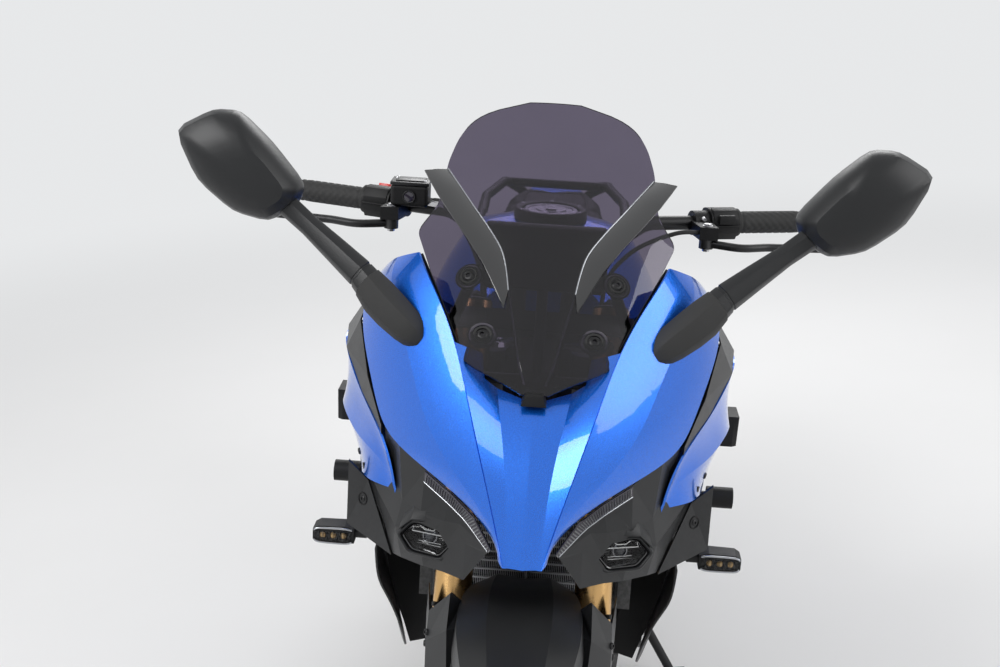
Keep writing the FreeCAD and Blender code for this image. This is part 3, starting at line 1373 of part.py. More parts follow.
def foot_controls():
    """The gear pedal on the left and the brake pedal on the right, each on its peg's hanger."""
    pedals = []
    for side, pivot_y, pivot_z, toe_y, toe_z in PEDALS:
        boss = rod(V(side * (HANGER_OUTER_X + SEAT_GAP), pivot_y, pivot_z),
                   V(side * 181, pivot_y, pivot_z), 12)
        arm = bent_tube([V(side * 174, pivot_y, pivot_z), V(side * 178, pivot_y - 60, pivot_z - 18),
                         V(side * 186, toe_y, toe_z)], 5.5, 40)
        toe = rod(V(side * 180, toe_y, toe_z), V(side * 220, toe_y, toe_z), 8)
        pedals.append(fuse([boss, arm, toe]))
    return pedals


STAND_PIVOT = V(146, 900, 280)
STAND_AXIS = V(0.894, 0, 0.447).normalize()
STAND_FOOT_X = 312.0
STAND_FOOT_Y = 862.0
PIN_R = 7.0
PIN_PLAY = 0.3
COLLAR_L = 20.0
STAND_LEG_R = 9.0


def stand_bracket():
    """The lug under the frame that carries the side stand's pin."""
    start = STAND_PIVOT - STAND_AXIS * 24
    lug = rod(start, STAND_PIVOT - STAND_AXIS * PIN_PLAY, 20)
    pin = rod(start, STAND_PIVOT + STAND_AXIS * 25, PIN_R)
    head = rod(STAND_PIVOT + STAND_AXIS * (COLLAR_L + PIN_PLAY), STAND_PIVOT + STAND_AXIS * 26, 12)
    arm = side_plate([(872, 320 - SEAT_GAP), (912, 320 - SEAT_GAP), (918, 282), (882, 270)], 116, 134)
    return fuse([arm, lug, pin, head])


def side_stand():
    """The leg with its foot flat on the floor of the parked machine."""
    collar = rod(STAND_PIVOT, STAND_PIVOT + STAND_AXIS * COLLAR_L, 18)
    foot = [floor_point(STAND_FOOT_X + x, STAND_FOOT_Y + y, 0) for x, y in
            ((-30, -22), (24, -26), (34, 0), (26, 24), (-28, 20))]
    up = floor_point(0, 0, 1) - floor_point(0, 0, 0)
    pad = prism(foot, up * 9)
    ankle = floor_point(STAND_FOOT_X, STAND_FOOT_Y, 7)
    hip = STAND_PIVOT + STAND_AXIS * (COLLAR_L / 2 - 0.5)
    shin = rod(hip, ankle, STAND_LEG_R)
    shin = shin.cut(prism([floor_point(STAND_FOOT_X + x, STAND_FOOT_Y + y, 0) for x, y in
                           ((-60, -60), (60, -60), (60, 60), (-60, 60))], up * -30))
    bore = rod(STAND_PIVOT - STAND_AXIS * 5, STAND_PIVOT + STAND_AXIS * 40, PIN_R + 0.08)
    return fuse([collar, shin, pad]).cut(bore)


def floor_point(x, y, z):
    """The upright place of a point on the parked floor, measured from under the front axle."""
    return PARKED.inverse().multVec(V(x - SIDE_SHIFT, y - MIDDLE_Y, z))


SPOOL_BEHIND_AXLE = 35.0
SPOOL_Y = WHEELBASE + SPOOL_BEHIND_AXLE
SPOOL_Z = REAR_AXLE.z - 2.0


def spool_boss(side):
    """A threaded boss on the swingarm for a lifting spool."""
    start = V(side * (153 + SEAT_GAP), SPOOL_Y, SPOOL_Z)
    return tube(start, start + V(side * 18, 0, 0), 12, 4.0)


NODES = {
    "front_tyre": lambda: [tyre(FRONT_AXLE, FRONT_TYRE_R, FRONT_TYRE_W, FRONT_RIM_W)],
    "front_rim": lambda: [front_rim()],
    "front_discs": front_discs,
    "rear_tyre": lambda: [tyre(REAR_AXLE, REAR_TYRE_R, REAR_TYRE_W, REAR_RIM_W)],
    "rear_rim": lambda: [rear_rim()],
    "rear_disc": lambda: [rear_disc()],
    "rear_sprocket": lambda: [rear_sprocket()],
    "chain": lambda: [chain()],
    "fork_tubes": fork_tubes,
    "fork_legs": lambda: [fork_legs()],
    "front_calipers": front_calipers,
    "triple_clamps": lambda: [triple_clamps()],
    "handlebar": lambda: [handlebar()],
    "grips": grips,
    "hand_controls": hand_controls,
    "hand_levers": hand_levers,
    "front_fender": lambda: [front_fender()],
    "frame": lambda: [frame_main()],
    "swingarm": lambda: [swingarm()],
    "rear_axle": lambda: [rear_axle()],
    "rear_caliper": lambda: [rear_caliper()],
    "rear_hugger": rear_hugger,
    "engine": lambda: [engine()],
    "engine_covers": engine_covers,
    "radiator": lambda: [radiator()],
    "exhaust_headers": lambda: [exhaust_headers()],
    "muffler": lambda: [muffler()],
    "rear_shock": lambda: [rear_shock()],
    "subframe": lambda: [subframe()],
    "upper_cowl": upper_cowl,
    "side_cowls": side_cowls,
    "cowl_trims": cowl_trims,
    "lower_cowls": lower_cowls,
    "cowl_stays": cowl_stays,
    "headlight_cowls": headlight_cowls,
    "headlights": headlights,
    "fuel_tank": lambda: [fuel_tank()],
    "filler_cap": filler_cap,
    "windscreen": lambda: [windscreen()],
    "screen_blades": screen_blades,
    "mirrors": mirrors,
    "mirror_glasses": mirror_glasses,
    "side_winglets": side_winglets,
    "turn_signals": turn_signals,
    "crash_pads": crash_pads,
    "cockpit": lambda: [cockpit()],
    "rider_seat": lambda: [rider_seat()],
    "passenger_seat": lambda: [passenger_seat()],
    "side_panels": side_panels,
    "tail_cowl": lambda: [tail_cowl()],
    "tail_lamp": lambda: [tail_lamp()],
    "grab_rails": lambda: [grab_rails()],
    "plate_bracket": lambda: [plate_bracket()],
    "footpegs": footpegs,
    "foot_controls": foot_controls,
    "stand_bracket": lambda: [stand_bracket()],
    "side_stand": lambda: [side_stand()],
    "spool_boss_left": lambda: [spool_boss(1)],
    "spool_boss_right": lambda: [spool_boss(-1)],
}


def parked_placement():
    """Leans the upright machine onto its stand, both tyres on the floor, origin under the middle."""
    def lowest(centre, outer_r, width):
        sidewall_r = RIM_SEAT_R + (outer_r - RIM_SEAT_R) * SIDEWALL_SHARE
        rise = outer_r - sidewall_r
        crown_r = ((width / 2) ** 2 + rise ** 2) / (2 * rise)
        hub = centre - Z_AXIS * (outer_r - crown_r)
        return hub, crown_r
    lean = FreeCAD.Rotation(Y_AXIS, LEAN_DEG)
    front, front_r = lowest(FRONT_AXLE, FRONT_TYRE_R, FRONT_TYRE_W)
    rear, rear_r = lowest(REAR_AXLE, REAR_TYRE_R, REAR_TYRE_W)
    front_drop = lean.multVec(front).z - front_r
    rear_drop = lean.multVec(rear).z - rear_r
    level = FreeCAD.Rotation(X_AXIS, -math.degrees(math.atan2(rear_drop - front_drop, WHEELBASE)))
    turn = level.multiply(lean)
    lift = front_r - turn.multVec(front).z
    return FreeCAD.Placement(V(-SIDE_SHIFT, -MIDDLE_Y, lift), turn)


PARKED = parked_placement()


def main():
    os.makedirs("parts", exist_ok=True)
    for name, make in NODES.items():
        solids = [s for shape in make() for s in shape.Solids]
        whole = Part.makeCompound(solids)
        whole.Placement = PARKED.multiply(whole.Placement)
        whole.exportStep(f"parts/{name}.step")


if __name__ == "__main__":
    main()
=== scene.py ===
import bpy
import bmesh
import math
from mathutils import Matrix, Vector
from mathutils.bvhtree import BVHTree


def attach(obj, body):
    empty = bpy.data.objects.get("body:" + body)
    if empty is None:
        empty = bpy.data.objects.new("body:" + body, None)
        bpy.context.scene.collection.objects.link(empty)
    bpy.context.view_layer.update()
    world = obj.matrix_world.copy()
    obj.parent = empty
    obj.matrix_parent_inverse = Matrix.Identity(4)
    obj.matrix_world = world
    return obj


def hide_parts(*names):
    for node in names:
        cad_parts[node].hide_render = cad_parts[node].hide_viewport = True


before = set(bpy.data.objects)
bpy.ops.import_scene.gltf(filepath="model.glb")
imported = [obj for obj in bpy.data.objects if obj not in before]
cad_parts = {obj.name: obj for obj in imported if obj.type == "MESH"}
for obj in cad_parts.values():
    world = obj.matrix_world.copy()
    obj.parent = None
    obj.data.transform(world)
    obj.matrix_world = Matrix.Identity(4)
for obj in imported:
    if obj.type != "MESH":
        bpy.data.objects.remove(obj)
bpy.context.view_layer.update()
scene = bpy.context.scene

# The upright model of the source, in millimetres, leaned onto its stand and moved to the row frame.
MM = 0.001
PARKED = Matrix(((0.9935719, 0.0, 0.1132032, -0.136),
                 (0.0000231, 1.0, -0.0002031, -0.770),
                 (-0.1132032, 0.0002044, 0.9935718, 0.000394),
                 (0.0, 0.0, 0.0, 1.0)))
UPRIGHT = PARKED @ Matrix.Scale(MM, 4)


def place(name, data):
    thing = bpy.data.objects.new(name, data)
    scene.collection.objects.link(thing)
    return thing


# Camera: in front of the machine and above it, placed beside the upright model

CAMERA_AT = Vector((22.2, -1704.9, 1514.9))
CAMERA_YAW, CAMERA_DOWN, CAMERA_ROLL = (math.radians(angle) for angle in (-2.39, 16.63, 3.21))
LENS_MM = 50.0
SENSOR_MM = 36.0


def add_camera():
    ahead = Vector((math.sin(CAMERA_YAW) * math.cos(CAMERA_DOWN),
                    math.cos(CAMERA_YAW) * math.cos(CAMERA_DOWN), -math.sin(CAMERA_DOWN)))
    level = ahead.cross(Vector((0, 0, 1))).normalized()
    above = level.cross(ahead)
    right = level * math.cos(CAMERA_ROLL) + above * math.sin(CAMERA_ROLL)
    up = above * math.cos(CAMERA_ROLL) - level * math.sin(CAMERA_ROLL)
    turn = PARKED.to_3x3()
    axes = Matrix((turn @ right, turn @ up, turn @ -ahead)).transposed()
    data = bpy.data.cameras.new("camera")
    data.sensor_width = SENSOR_MM
    data.lens = LENS_MM
    data.clip_end = 100.0
    camera = place("camera", data)
    camera.matrix_world = Matrix.Translation(UPRIGHT @ CAMERA_AT) @ axes.to_4x4()
    scene.camera = camera


add_camera()
scene.view_settings.view_transform = "Standard"


# Node trees

class Nodes:
    """Adds nodes to a material or the world, each with its inputs in the same call."""

    def __init__(self, tree):
        self.tree = tree

    def add(self, kind, inputs=(), **settings):
        node = self.tree.nodes.new("ShaderNode" + kind)
        for name, value in settings.items():
            setattr(node, name, value)
        return self.fill(node, dict(inputs))

    def fill(self, node, inputs):
        """Links each input that is given a socket and sets each that is given a value."""
        for name, value in inputs.items():
            if isinstance(value, bpy.types.NodeSocket):
                self.tree.links.new(value, node.inputs[name])
            else:
                node.inputs[name].default_value = value
        return node


SLOT_OF = {}


def new_material(name, slot=None):
    """A material, its nodes and its main shader; pieces that wear it belong to the slot."""
    made = bpy.data.materials.new(name)
    made.use_nodes = True
    SLOT_OF[made.name] = slot
    # A material, its nodes and its main shader; its slot is noted in SLOT_OF.
    return made, Nodes(made.node_tree), made.node_tree.nodes["Principled BSDF"]


# Studio: pale floor, soft sky and three large soft lamps

BACKGROUND = (0.80, 0.81, 0.82, 1)
SKY = ((0.0, (0.30, 0.31, 0.33, 1)), (0.22, (0.52, 0.53, 0.55, 1)), (0.75, (1.0, 1.0, 1.0, 1)))
SKY_STRENGTH = 0.55
FLOOR_HALF = 30.0
FADE_FROM = 1.5
FADE_TO = 6.0
LAMPS = (  # name, place, aim, size, power
    ("key_lamp", (-2.6, -2.6, 3.6), (0, -0.2, 0.7), (2.2, 2.2), 120),
    ("fill_lamp", (3.2, -1.4, 2.4), (0, 0, 0.6), (1.8, 2.6), 50),
    ("rear_lamp", (0.6, 3.4, 3.2), (0, 0.2, 0.7), (3.0, 1.6), 70))


def shown_to(nodes):
    """1 for rays that show a picture of the background: to the camera, through glass, in a gloss."""
    path = nodes.add("LightPath")
    total = path.outputs["Is Camera Ray"]
    for kind in ("Is Glossy Ray", "Is Transmission Ray"):
        total = nodes.add("Math", {0: total, 1: path.outputs[kind]}, operation="MAXIMUM").outputs[0]
    return total


def add_world():
    world = bpy.data.worlds.new("studio")
    scene.world = world
    world.use_nodes = True
    world.node_tree.nodes.clear()
    nodes = Nodes(world.node_tree)
    height = nodes.add("SeparateXYZ", {0: nodes.add("TexCoord").outputs["Generated"]})
    ramp = nodes.add("ValToRGB", {0: height.outputs["Z"]})
    steps = ramp.color_ramp.elements
    steps.new(0.5)
    for step, (at, shade) in zip(steps, SKY):
        step.position = at
        step.color = shade
    light = nodes.add("Background", {"Color": ramp.outputs[0], "Strength": SKY_STRENGTH})
    seen = nodes.add("Background", {"Color": BACKGROUND, "Strength": 1.0})
    mix = nodes.add("MixShader", {0: shown_to(nodes), 1: light.outputs[0], 2: seen.outputs[0]})
    nodes.add("OutputWorld", {0: mix.outputs[0]})


def add_floor():
    """A floor that takes the shadow near the machine and turns into the background further off."""
    half = FLOOR_HALF
    mesh = bpy.data.meshes.new("floor")
    mesh.from_pydata([(-half, -half, 0), (half, -half, 0), (half, half, 0), (-half, half, 0)], [],
                     [(0, 1, 2, 3)])
    made, nodes, shader = new_material("floor_paint")
    where = nodes.add("TexCoord").outputs["Object"]
    noise = nodes.add("TexNoise", {"Vector": where, "Scale": 1.6, "Detail": 4.0})
    tint = nodes.add("MixRGB", {0: noise.outputs["Fac"], 1: (0.80, 0.80, 0.80, 1),
                                2: (0.84, 0.84, 0.845, 1)})
    nodes.fill(shader, {"Base Color": tint.outputs[0], "Roughness": 0.7})
    far = nodes.add("VectorMath", {0: where}, operation="LENGTH")
    fade = nodes.add("MapRange", {"Value": far.outputs["Value"], "From Min": FADE_FROM,
                                  "From Max": FADE_TO}, interpolation_type="SMOOTHSTEP")
    seen = nodes.add("Math", {0: fade.outputs[0], 1: shown_to(nodes)}, operation="MULTIPLY")
    glow = nodes.add("Emission", {"Color": BACKGROUND})
    mix = nodes.add("MixShader", {0: seen.outputs[0], 1: shader.outputs[0], 2: glow.outputs[0]})
    nodes.fill(made.node_tree.nodes["Material Output"], {0: mix.outputs[0]})
    mesh.materials.append(made)
    floor = place("floor", mesh)


def add_lamps():
    for name, at, aim, size, power in LAMPS:
        data = bpy.data.lights.new(name, "AREA")
        data.shape = "RECTANGLE"
        data.size, data.size_y = size
        data.energy = power
        lamp = place(name, data)
        lamp.location = at
        lamp.rotation_euler = (Vector(aim) - Vector(at)).to_track_quat("-Z", "Y").to_euler()


add_world()
add_floor()
add_lamps()


# Materials; sizes count the pattern's repeats in a metre

SMUDGE_SIZE = 18.0
CHIP_SIZE = 160.0
FLAKE_SIZE = 2600.0
WAVE_SIZE = 14.0
WORN_FROM = 0.58
WORN_TO = 0.70
GRAIN_DEPTH = 0.0004
FLAKE_DEPTH = 0.0002


def finish(name, base, roughness, slot=None, metallic=0.0, other=None, patch=6.0, grain=0.0,
           grain_size=900.0, smudge=0.08, coat=0.0, coat_roughness=0.04, wear=None, alpha=1.0,
           specular=0.5):
    """A surface whose colour, gloss and bump vary, with optional worn edges."""
    made, nodes, shader = new_material(name, slot)
    where = nodes.add("TexCoord").outputs["Object"]

    def noise(size, detail=3.0):
        return nodes.add("TexNoise", {"Vector": where, "Scale": size, "Detail": detail,
                                      "Roughness": 0.55}).outputs["Fac"]

    other = other or [c * 1.25 + 0.004 for c in base]
    colour = nodes.add("MixRGB", {0: noise(patch), 1: (*base, 1), 2: (*other, 1)}).outputs[0]
    if wear:
        edge = nodes.add("MapRange", {"Value": nodes.add("NewGeometry").outputs["Pointiness"],
                                      "From Min": WORN_FROM, "From Max": WORN_TO})
        broken = nodes.add("Math", {0: edge.outputs[0], 1: noise(CHIP_SIZE)}, operation="MULTIPLY")
        colour = nodes.add("MixRGB", {0: broken.outputs[0], 1: colour, 2: (*wear, 1)}).outputs[0]
    gloss = nodes.add("MapRange", {"Value": noise(SMUDGE_SIZE, 5.0),
                                   "To Min": max(0.0, roughness - smudge),
                                   "To Max": min(1.0, roughness + smudge)})
    nodes.fill(shader, {"Base Color": colour, "Roughness": gloss.outputs[0], "Metallic": metallic,
                        "IOR": 1.5, "Specular IOR Level": specular, "Coat Weight": coat,
                        "Coat Roughness": coat_roughness, "Alpha": alpha})
    if grain:
        bump = nodes.add("Bump", {"Height": noise(grain_size, 2.0), "Strength": grain,
                                  "Distance": GRAIN_DEPTH})
        nodes.fill(shader, {"Normal": bump.outputs[0]})
    return made


def flake_paint(name, base, deep):
    """Metallic paint under clear lacquer: small flakes that turn the base coat's gloss."""
    made, nodes, shader = new_material(name)
    where = nodes.add("TexCoord").outputs["Object"]
    cells = nodes.add("TexVoronoi", {"Vector": where, "Scale": FLAKE_SIZE})
    flake = nodes.add("SeparateColor", {0: cells.outputs["Color"]}).outputs
    tint = nodes.add("MixRGB", {0: flake[0], 1: (*base, 1), 2: (*deep, 1)})
    bump = nodes.add("Bump", {"Height": flake[1], "Strength": 0.12, "Distance": FLAKE_DEPTH})
    gloss = nodes.add("MapRange", {"Value": flake[2], "To Min": 0.24, "To Max": 0.34})
    nodes.fill(shader, {"Base Color": tint.outputs[0], "Normal": bump.outputs[0],
                        "Roughness": gloss.outputs[0], "Metallic": 0.72, "Coat Weight": 1.0,
                        "Coat Roughness": 0.03})
    return made


def clear(name, tint, slot=None, roughness=0.02):
    """Moulded clear sheet, tinted and slightly uneven."""
    made, nodes, shader = new_material(name, slot)
    where = nodes.add("TexCoord").outputs["Object"]
    wave = nodes.add("TexNoise", {"Vector": where, "Scale": WAVE_SIZE})
    shade = nodes.add("MixRGB", {0: wave.outputs["Fac"], 1: (*tint, 1),
                                 2: (*[c * 0.86 for c in tint], 1)})
    nodes.fill(shader, {"Base Color": shade.outputs[0], "Roughness": roughness, "IOR": 1.46,
                        "Transmission Weight": 1.0})
    return made


BLUE = flake_paint("blue_paint", (0.006, 0.17, 0.80), (0.002, 0.11, 0.62))
BLACK_PLASTIC = finish("moulded_plastic", (0.010, 0.0105, 0.0115), 0.36, "black_plastic", grain=0.22,
                       grain_size=2600.0, wear=(0.04, 0.04, 0.041), specular=0.34)
DARK_PLASTIC = finish("dark_plastic", (0.006, 0.006, 0.0065), 0.48, "black_plastic", grain=0.3,
                      grain_size=2200.0, specular=0.25)
RED_PLASTIC = finish("red_switch", (0.55, 0.015, 0.012), 0.32, "black_plastic", smudge=0.06)
GLOSS_BLACK = finish("gloss_black", (0.006, 0.006, 0.007), 0.10, "gloss_black", smudge=0.04, coat=1.0)
BLACK_METAL = finish("black_coated_metal", (0.011, 0.011, 0.012), 0.36, "black_metal", metallic=0.4,
                     grain=0.35, grain_size=1300.0, wear=(0.16, 0.16, 0.16))
FRAME_METAL = finish("frame_metal", (0.045, 0.047, 0.052), 0.36, metallic=0.7, grain=0.3,
                     grain_size=700.0, wear=(0.25, 0.25, 0.26))
RIM_METAL = finish("rim_paint", (0.018, 0.018, 0.02), 0.30, metallic=0.35, coat=0.5, grain=0.2)
GOLD = finish("bronze_anodised", (0.62, 0.38, 0.15), 0.26, metallic=1.0, other=(0.70, 0.44, 0.19))
STEEL = finish("brushed_steel", (0.46, 0.46, 0.47), 0.30, "steel", metallic=1.0, grain=0.3,
               grain_size=500.0)
DISC_STEEL = finish("disc_steel", (0.55, 0.55, 0.55), 0.24, metallic=1.0, grain=0.4)
ALLOY = finish("cast_alloy", (0.42, 0.42, 0.44), 0.40, "alloy", metallic=0.9, grain=0.6,
               grain_size=800.0)
DARK_ALLOY = finish("dark_cast_alloy", (0.09, 0.09, 0.095), 0.38, metallic=0.85, grain=0.6,
                    grain_size=800.0, wear=(0.4, 0.4, 0.41))
CHROME = finish("chrome", (0.86, 0.87, 0.88), 0.06, "lamp", metallic=1.0, smudge=0.03)
# chrome for the lamps' bezels and rims, and painted highlights: bright strips on the gloss black screen fins
# and signal frames
CHROME_AND_HIGHLIGHT = finish("chrome_trim_and_painted_highlight", (0.34, 0.35, 0.37), 0.16, "lamp", metallic=0.9, smudge=0.05)
RUBBER = finish("grip_rubber", (0.014, 0.014, 0.014), 0.72, "rubber", grain=0.5, grain_size=600.0)
TYRE_RUBBER = finish("tyre_rubber", (0.017, 0.017, 0.018), 0.78, "tyre", other=(0.030, 0.029, 0.028),
                     patch=9.0, grain=0.5, grain_size=420.0)
SEAT_COVER = finish("seat_cover", (0.016, 0.016, 0.017), 0.58, "seat", grain=1.0, grain_size=520.0)
STITCH = finish("seat_thread", (0.10, 0.10, 0.105), 0.6, "seat")
PIPE_STEEL = finish("heated_steel", (0.40, 0.33, 0.26), 0.32, metallic=1.0, other=(0.30, 0.24, 0.28),
                    patch=5.0)
MIRROR = finish("mirror_glass", (0.88, 0.90, 0.91), 0.02, metallic=1.0, smudge=0.01)
SMOKE = clear("smoked_sheet", (0.125, 0.105, 0.16), "screen")
SMOKE_DARK = finish("smoked_ring", (0.028, 0.024, 0.036), 0.07, "screen", smudge=0.03, coat=0.6)
LENS = clear("clear_lens", (0.93, 0.94, 0.96))
CLEAR_COVER = finish("lamp_cover", (0.02, 0.02, 0.021), 0.03, "lamp", smudge=0.01, alpha=0.2)
PROJECTOR = finish("projector_glass", (0.055, 0.06, 0.075), 0.03, "lamp", smudge=0.02, coat=1.0,
                   coat_roughness=0.01)
DAY_RIB = finish("ribbed_lens", (0.085, 0.088, 0.095), 0.12, "lamp", smudge=0.05, coat=1.0)
AMBER = finish("amber_lamp", (0.50, 0.34, 0.16), 0.2, "lamp", metallic=0.6, smudge=0.05)
RED_LENS = clear("red_lens", (0.55, 0.015, 0.012), roughness=0.08)
RED_GLOW = finish("red_segments", (0.5, 0.02, 0.015), 0.25, "red_lens", coat=1.0)

NODE_FINISH = (
    (BLUE, "upper_cowl side_cowls fuel_tank tail_cowl"),
    (BLACK_PLASTIC, "front_fender cowl_trims lower_cowls headlight_cowls mirrors side_winglets"),
    (BLACK_PLASTIC, "plate_bracket side_panels rear_hugger"),
    (DARK_PLASTIC, "hand_controls turn_signals crash_pads"),
    (GLOSS_BLACK, "screen_blades cockpit"),
    (BLACK_METAL, "fork_legs front_calipers triple_clamps handlebar hand_levers engine engine_covers"),
    (BLACK_METAL, "radiator muffler rear_shock subframe cowl_stays grab_rails stand_bracket"),
    (BLACK_METAL, "side_stand rear_caliper"),
    (FRAME_METAL, "frame swingarm"),
    (RIM_METAL, "front_rim rear_rim"),
    (GOLD, "fork_tubes"),
    (STEEL, "rear_sprocket chain rear_axle"),
    (DISC_STEEL, "front_discs rear_disc"),
    (ALLOY, "filler_cap spool_boss_left spool_boss_right foot_controls"),
    (DARK_ALLOY, "footpegs"),
    (RUBBER, "grips"),
    (TYRE_RUBBER, "front_tyre rear_tyre"),
    (SEAT_COVER, "rider_seat passenger_seat"),
    (PIPE_STEEL, "exhaust_headers"),
    (MIRROR, "mirror_glasses"),
    (SMOKE, "windscreen"),
    (LENS, "headlights"),
    (RED_LENS, "tail_lamp"),
)


def paint(thing, made):
    thing.data.materials.clear()
    thing.data.materials.append(made)


for made, names in NODE_FINISH:
    for name in names.split():
        paint(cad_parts[name], made)


# Mesh helpers; every point is of the upright model, in millimetres

TURN = 2 * math.pi
LEFT = Vector((1, 0, 0))
UP = Vector((0, 0, 1))
BEVEL_ANGLE = math.radians(28.0)


class Shape:
    """Points and faces that become one piece."""

    def __init__(self):
        self.points = []
        self.faces = []

    def add(self, points, faces):
        first = len(self.points)
        self.points += [Vector(p) for p in points]
        self.faces += [tuple(first + i for i in face) for face in faces]
        return self

    def rings(self, rings, closed=False):
        """Skins a row of equal rings of points, capped at both ends or closed into a loop."""
        count = len(rings[0])
        faces = []
        last = len(rings) if closed else len(rings) - 1
        for i in range(last):
            a, b = i * count, (i + 1) % len(rings) * count
            faces += [(a + j, a + (j + 1) % count, b + (j + 1) % count, b + j) for j in range(count)]
        if not closed:
            faces.append(tuple(range(count))[::-1])
            faces.append(tuple(range((len(rings) - 1) * count, len(rings) * count)))
        return self.add([p for ring in rings for p in ring], faces)

    def spin(self, profile, centre, axis, sides=24):
        """Turns (along, radius) points about an axis through a centre."""
        axis = Vector(axis).normalized()
        side = axis.orthogonal().normalized()
        up = axis.cross(side)
        rounds = [side * math.cos(TURN * i / sides) + up * math.sin(TURN * i / sides) for i in range(sides)]
        return self.rings([[Vector(centre) + axis * along + out * max(radius, 0.01) for out in rounds]
                           for along, radius in profile])

    def tube(self, path, radius, sides, steps=6):
        """A round tube along a smooth line through the path's points."""
        line = smooth_line(path, steps)
        rings = []
        side = (line[1] - line[0]).orthogonal().normalized()
        for i, at in enumerate(line):
            ahead = (line[min(i + 1, len(line) - 1)] - line[max(i - 1, 0)]).normalized()
            side = (side - ahead * side.dot(ahead)).normalized()
            up = ahead.cross(side)
            rings.append([at + (side * math.cos(a) + up * math.sin(a)) * radius
                          for a in (TURN * j / sides for j in range(sides))])
        return self.rings(rings)

    def prism(self, outline, reach):
        """A flat outline pushed along a vector."""
        return self.rings([outline, [p + Vector(reach) for p in outline]])

    def block(self, middle, half, turn=Matrix.Identity(3)):
        """A box about a middle, with half sizes, turned by a matrix."""
        ring = [(-1, -1), (1, -1), (1, 1), (-1, 1)]
        return self.rings([[Vector(middle) + turn @ Vector((a * half[0], b * half[1], c * half[2]))
                            for a, b in ring] for c in (-1, 1)])

    def twin(self):
        return [Vector((-p.x, p.y, p.z)) for p in self.points], [face[::-1] for face in self.faces]

    def both(self):
        """Adds the twin on the other side of the machine."""
        return self.add(*self.twin())

    def flip(self):
        """Moves everything to the other side of the machine."""
        self.points, self.faces = self.twin()
        return self

    def make(self, name, made, body="root", slot=None, wall=0.0, bevel=0.0, segments=2, smooth=40,
             replaces=()):
        """Makes the piece, which rides on a body; wall thickens a sheet to its outside."""
        mesh = bpy.data.meshes.new(name)
        mesh.from_pydata([tuple(p) for p in self.points], [], self.faces)
        mesh.validate()
        mesh.transform(UPRIGHT)
        net = bmesh.new()
        net.from_mesh(mesh)
        bmesh.ops.remove_doubles(net, verts=net.verts, dist=0.00001)
        if not wall:
            bmesh.ops.recalc_face_normals(net, faces=net.faces)
        net.to_mesh(mesh)
        net.free()
        thing = place(name, mesh)
        if wall:
            sheet = thing.modifiers.new("wall", "SOLIDIFY")
            sheet.thickness = wall * MM
            sheet.offset = 1.0
            sheet.use_even_offset = True
        if bevel:
            edge = thing.modifiers.new("edge", "BEVEL")
            edge.width = bevel * MM
            edge.segments = segments
            edge.limit_method = "ANGLE"
            edge.angle_limit = BEVEL_ANGLE
        if thing.modifiers:
            settle(thing)
        paint(thing, made)
        thing.data.shade_smooth()
        thing.data.set_sharp_from_angle(angle=math.radians(smooth))
        slot = slot or SLOT_OF[made.name]
        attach(thing, body)
        if replaces:
            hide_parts(*replaces)
        return thing


def evaluated(thing):
    return thing.evaluated_get(bpy.context.evaluated_depsgraph_get())


def settle(thing):
    """Turns a piece's modifiers into its mesh."""
    bpy.context.view_layer.update()
    mesh = bpy.data.meshes.new_from_object(evaluated(thing))
    thing.modifiers.clear()
    thing.data = mesh


def smooth_line(path, steps):
    """A smooth line through points, evenly divided between each two."""
    spots = [Vector(p) for p in path]
    if len(spots) == 2:
        return [spots[0].lerp(spots[1], i / steps) for i in range(steps + 1)]
    line = []
    for i in range(len(spots) - 1):
        a, b, c, d = spots[max(i - 1, 0)], spots[i], spots[i + 1], spots[min(i + 2, len(spots) - 1)]
        for t in (k / steps for k in range(steps)):
            line.append(0.5 * (2 * b + (c - a) * t + (2 * a - 5 * b + 4 * c - d) * t ** 2
                               + (3 * b - a - 3 * c + d) * t ** 3))
    return line + [spots[-1]]


def soft_ring(points, cut=0.16):
    """Rounds each corner of a ring of points with a short arc of three."""
    ring = []
    for i, at in enumerate(points):
        before, after = points[i - 1], points[(i + 1) % len(points)]
        a, b = at.lerp(before, cut), at.lerp(after, cut)
        ring += [a, (a + b) / 4 + at / 2, b]
    return ring


def spread(table, at):
    """Looks a value up in a table of (key, value, ...) rows with straight runs between them."""
    for low, high in zip(table, table[1:]):
        if at <= high[0]:
            share = max(0.0, (at - low[0]) / (high[0] - low[0]))
            return [a + (b - a) * share for a, b in zip(low[1:], high[1:])]
    return list(table[-1][1:])


def surface(mesh, matrix=Matrix.Identity(4)):
    """A mesh as a tree for rays in the upright model."""
    net = bmesh.new()
    net.from_mesh(mesh)
    bmesh.ops.transform(net, matrix=UPRIGHT.inverted() @ matrix, verts=net.verts)
    tree = BVHTree.FromBMesh(net)
    net.free()
    return tree


SURFACES = {}


def touch(node, start, heading):
    """Where a line from a point first meets a CAD node, and the surface's outward direction there."""
    if node not in SURFACES:
        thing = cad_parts[node]
        SURFACES[node] = surface(thing.data, thing.matrix_world)
    at, out, _, _ = SURFACES[node].ray_cast(Vector(start), Vector(heading).normalized())
    if at is None:
        raise ValueError("no surface of " + node + " in front of " + str(start))
    return at, out if out.dot(Vector(heading)) < 0 else -out


def bolt(shape, at, out, radius, height, hex_head=False):
    """A button-head socket screw, or a flanged hexagon head, standing on a surface."""
    if hex_head:
        foot = height * 0.25
        shape.spin([(0, radius * 1.25), (foot, radius * 1.25), (height * 0.3, radius)], at, out, 16)
        shape.spin([(foot, radius * 0.95), (height * 0.9, radius * 0.95), (height, radius * 0.8)], at, out, 6)
        return
    shape.spin([(-1.0, radius), (height * 0.35, radius), (height * 0.8, radius * 0.84),
                (height, radius * 0.62), (height, radius * 0.45), (height * 0.35, radius * 0.42)],
               at, out, 18)


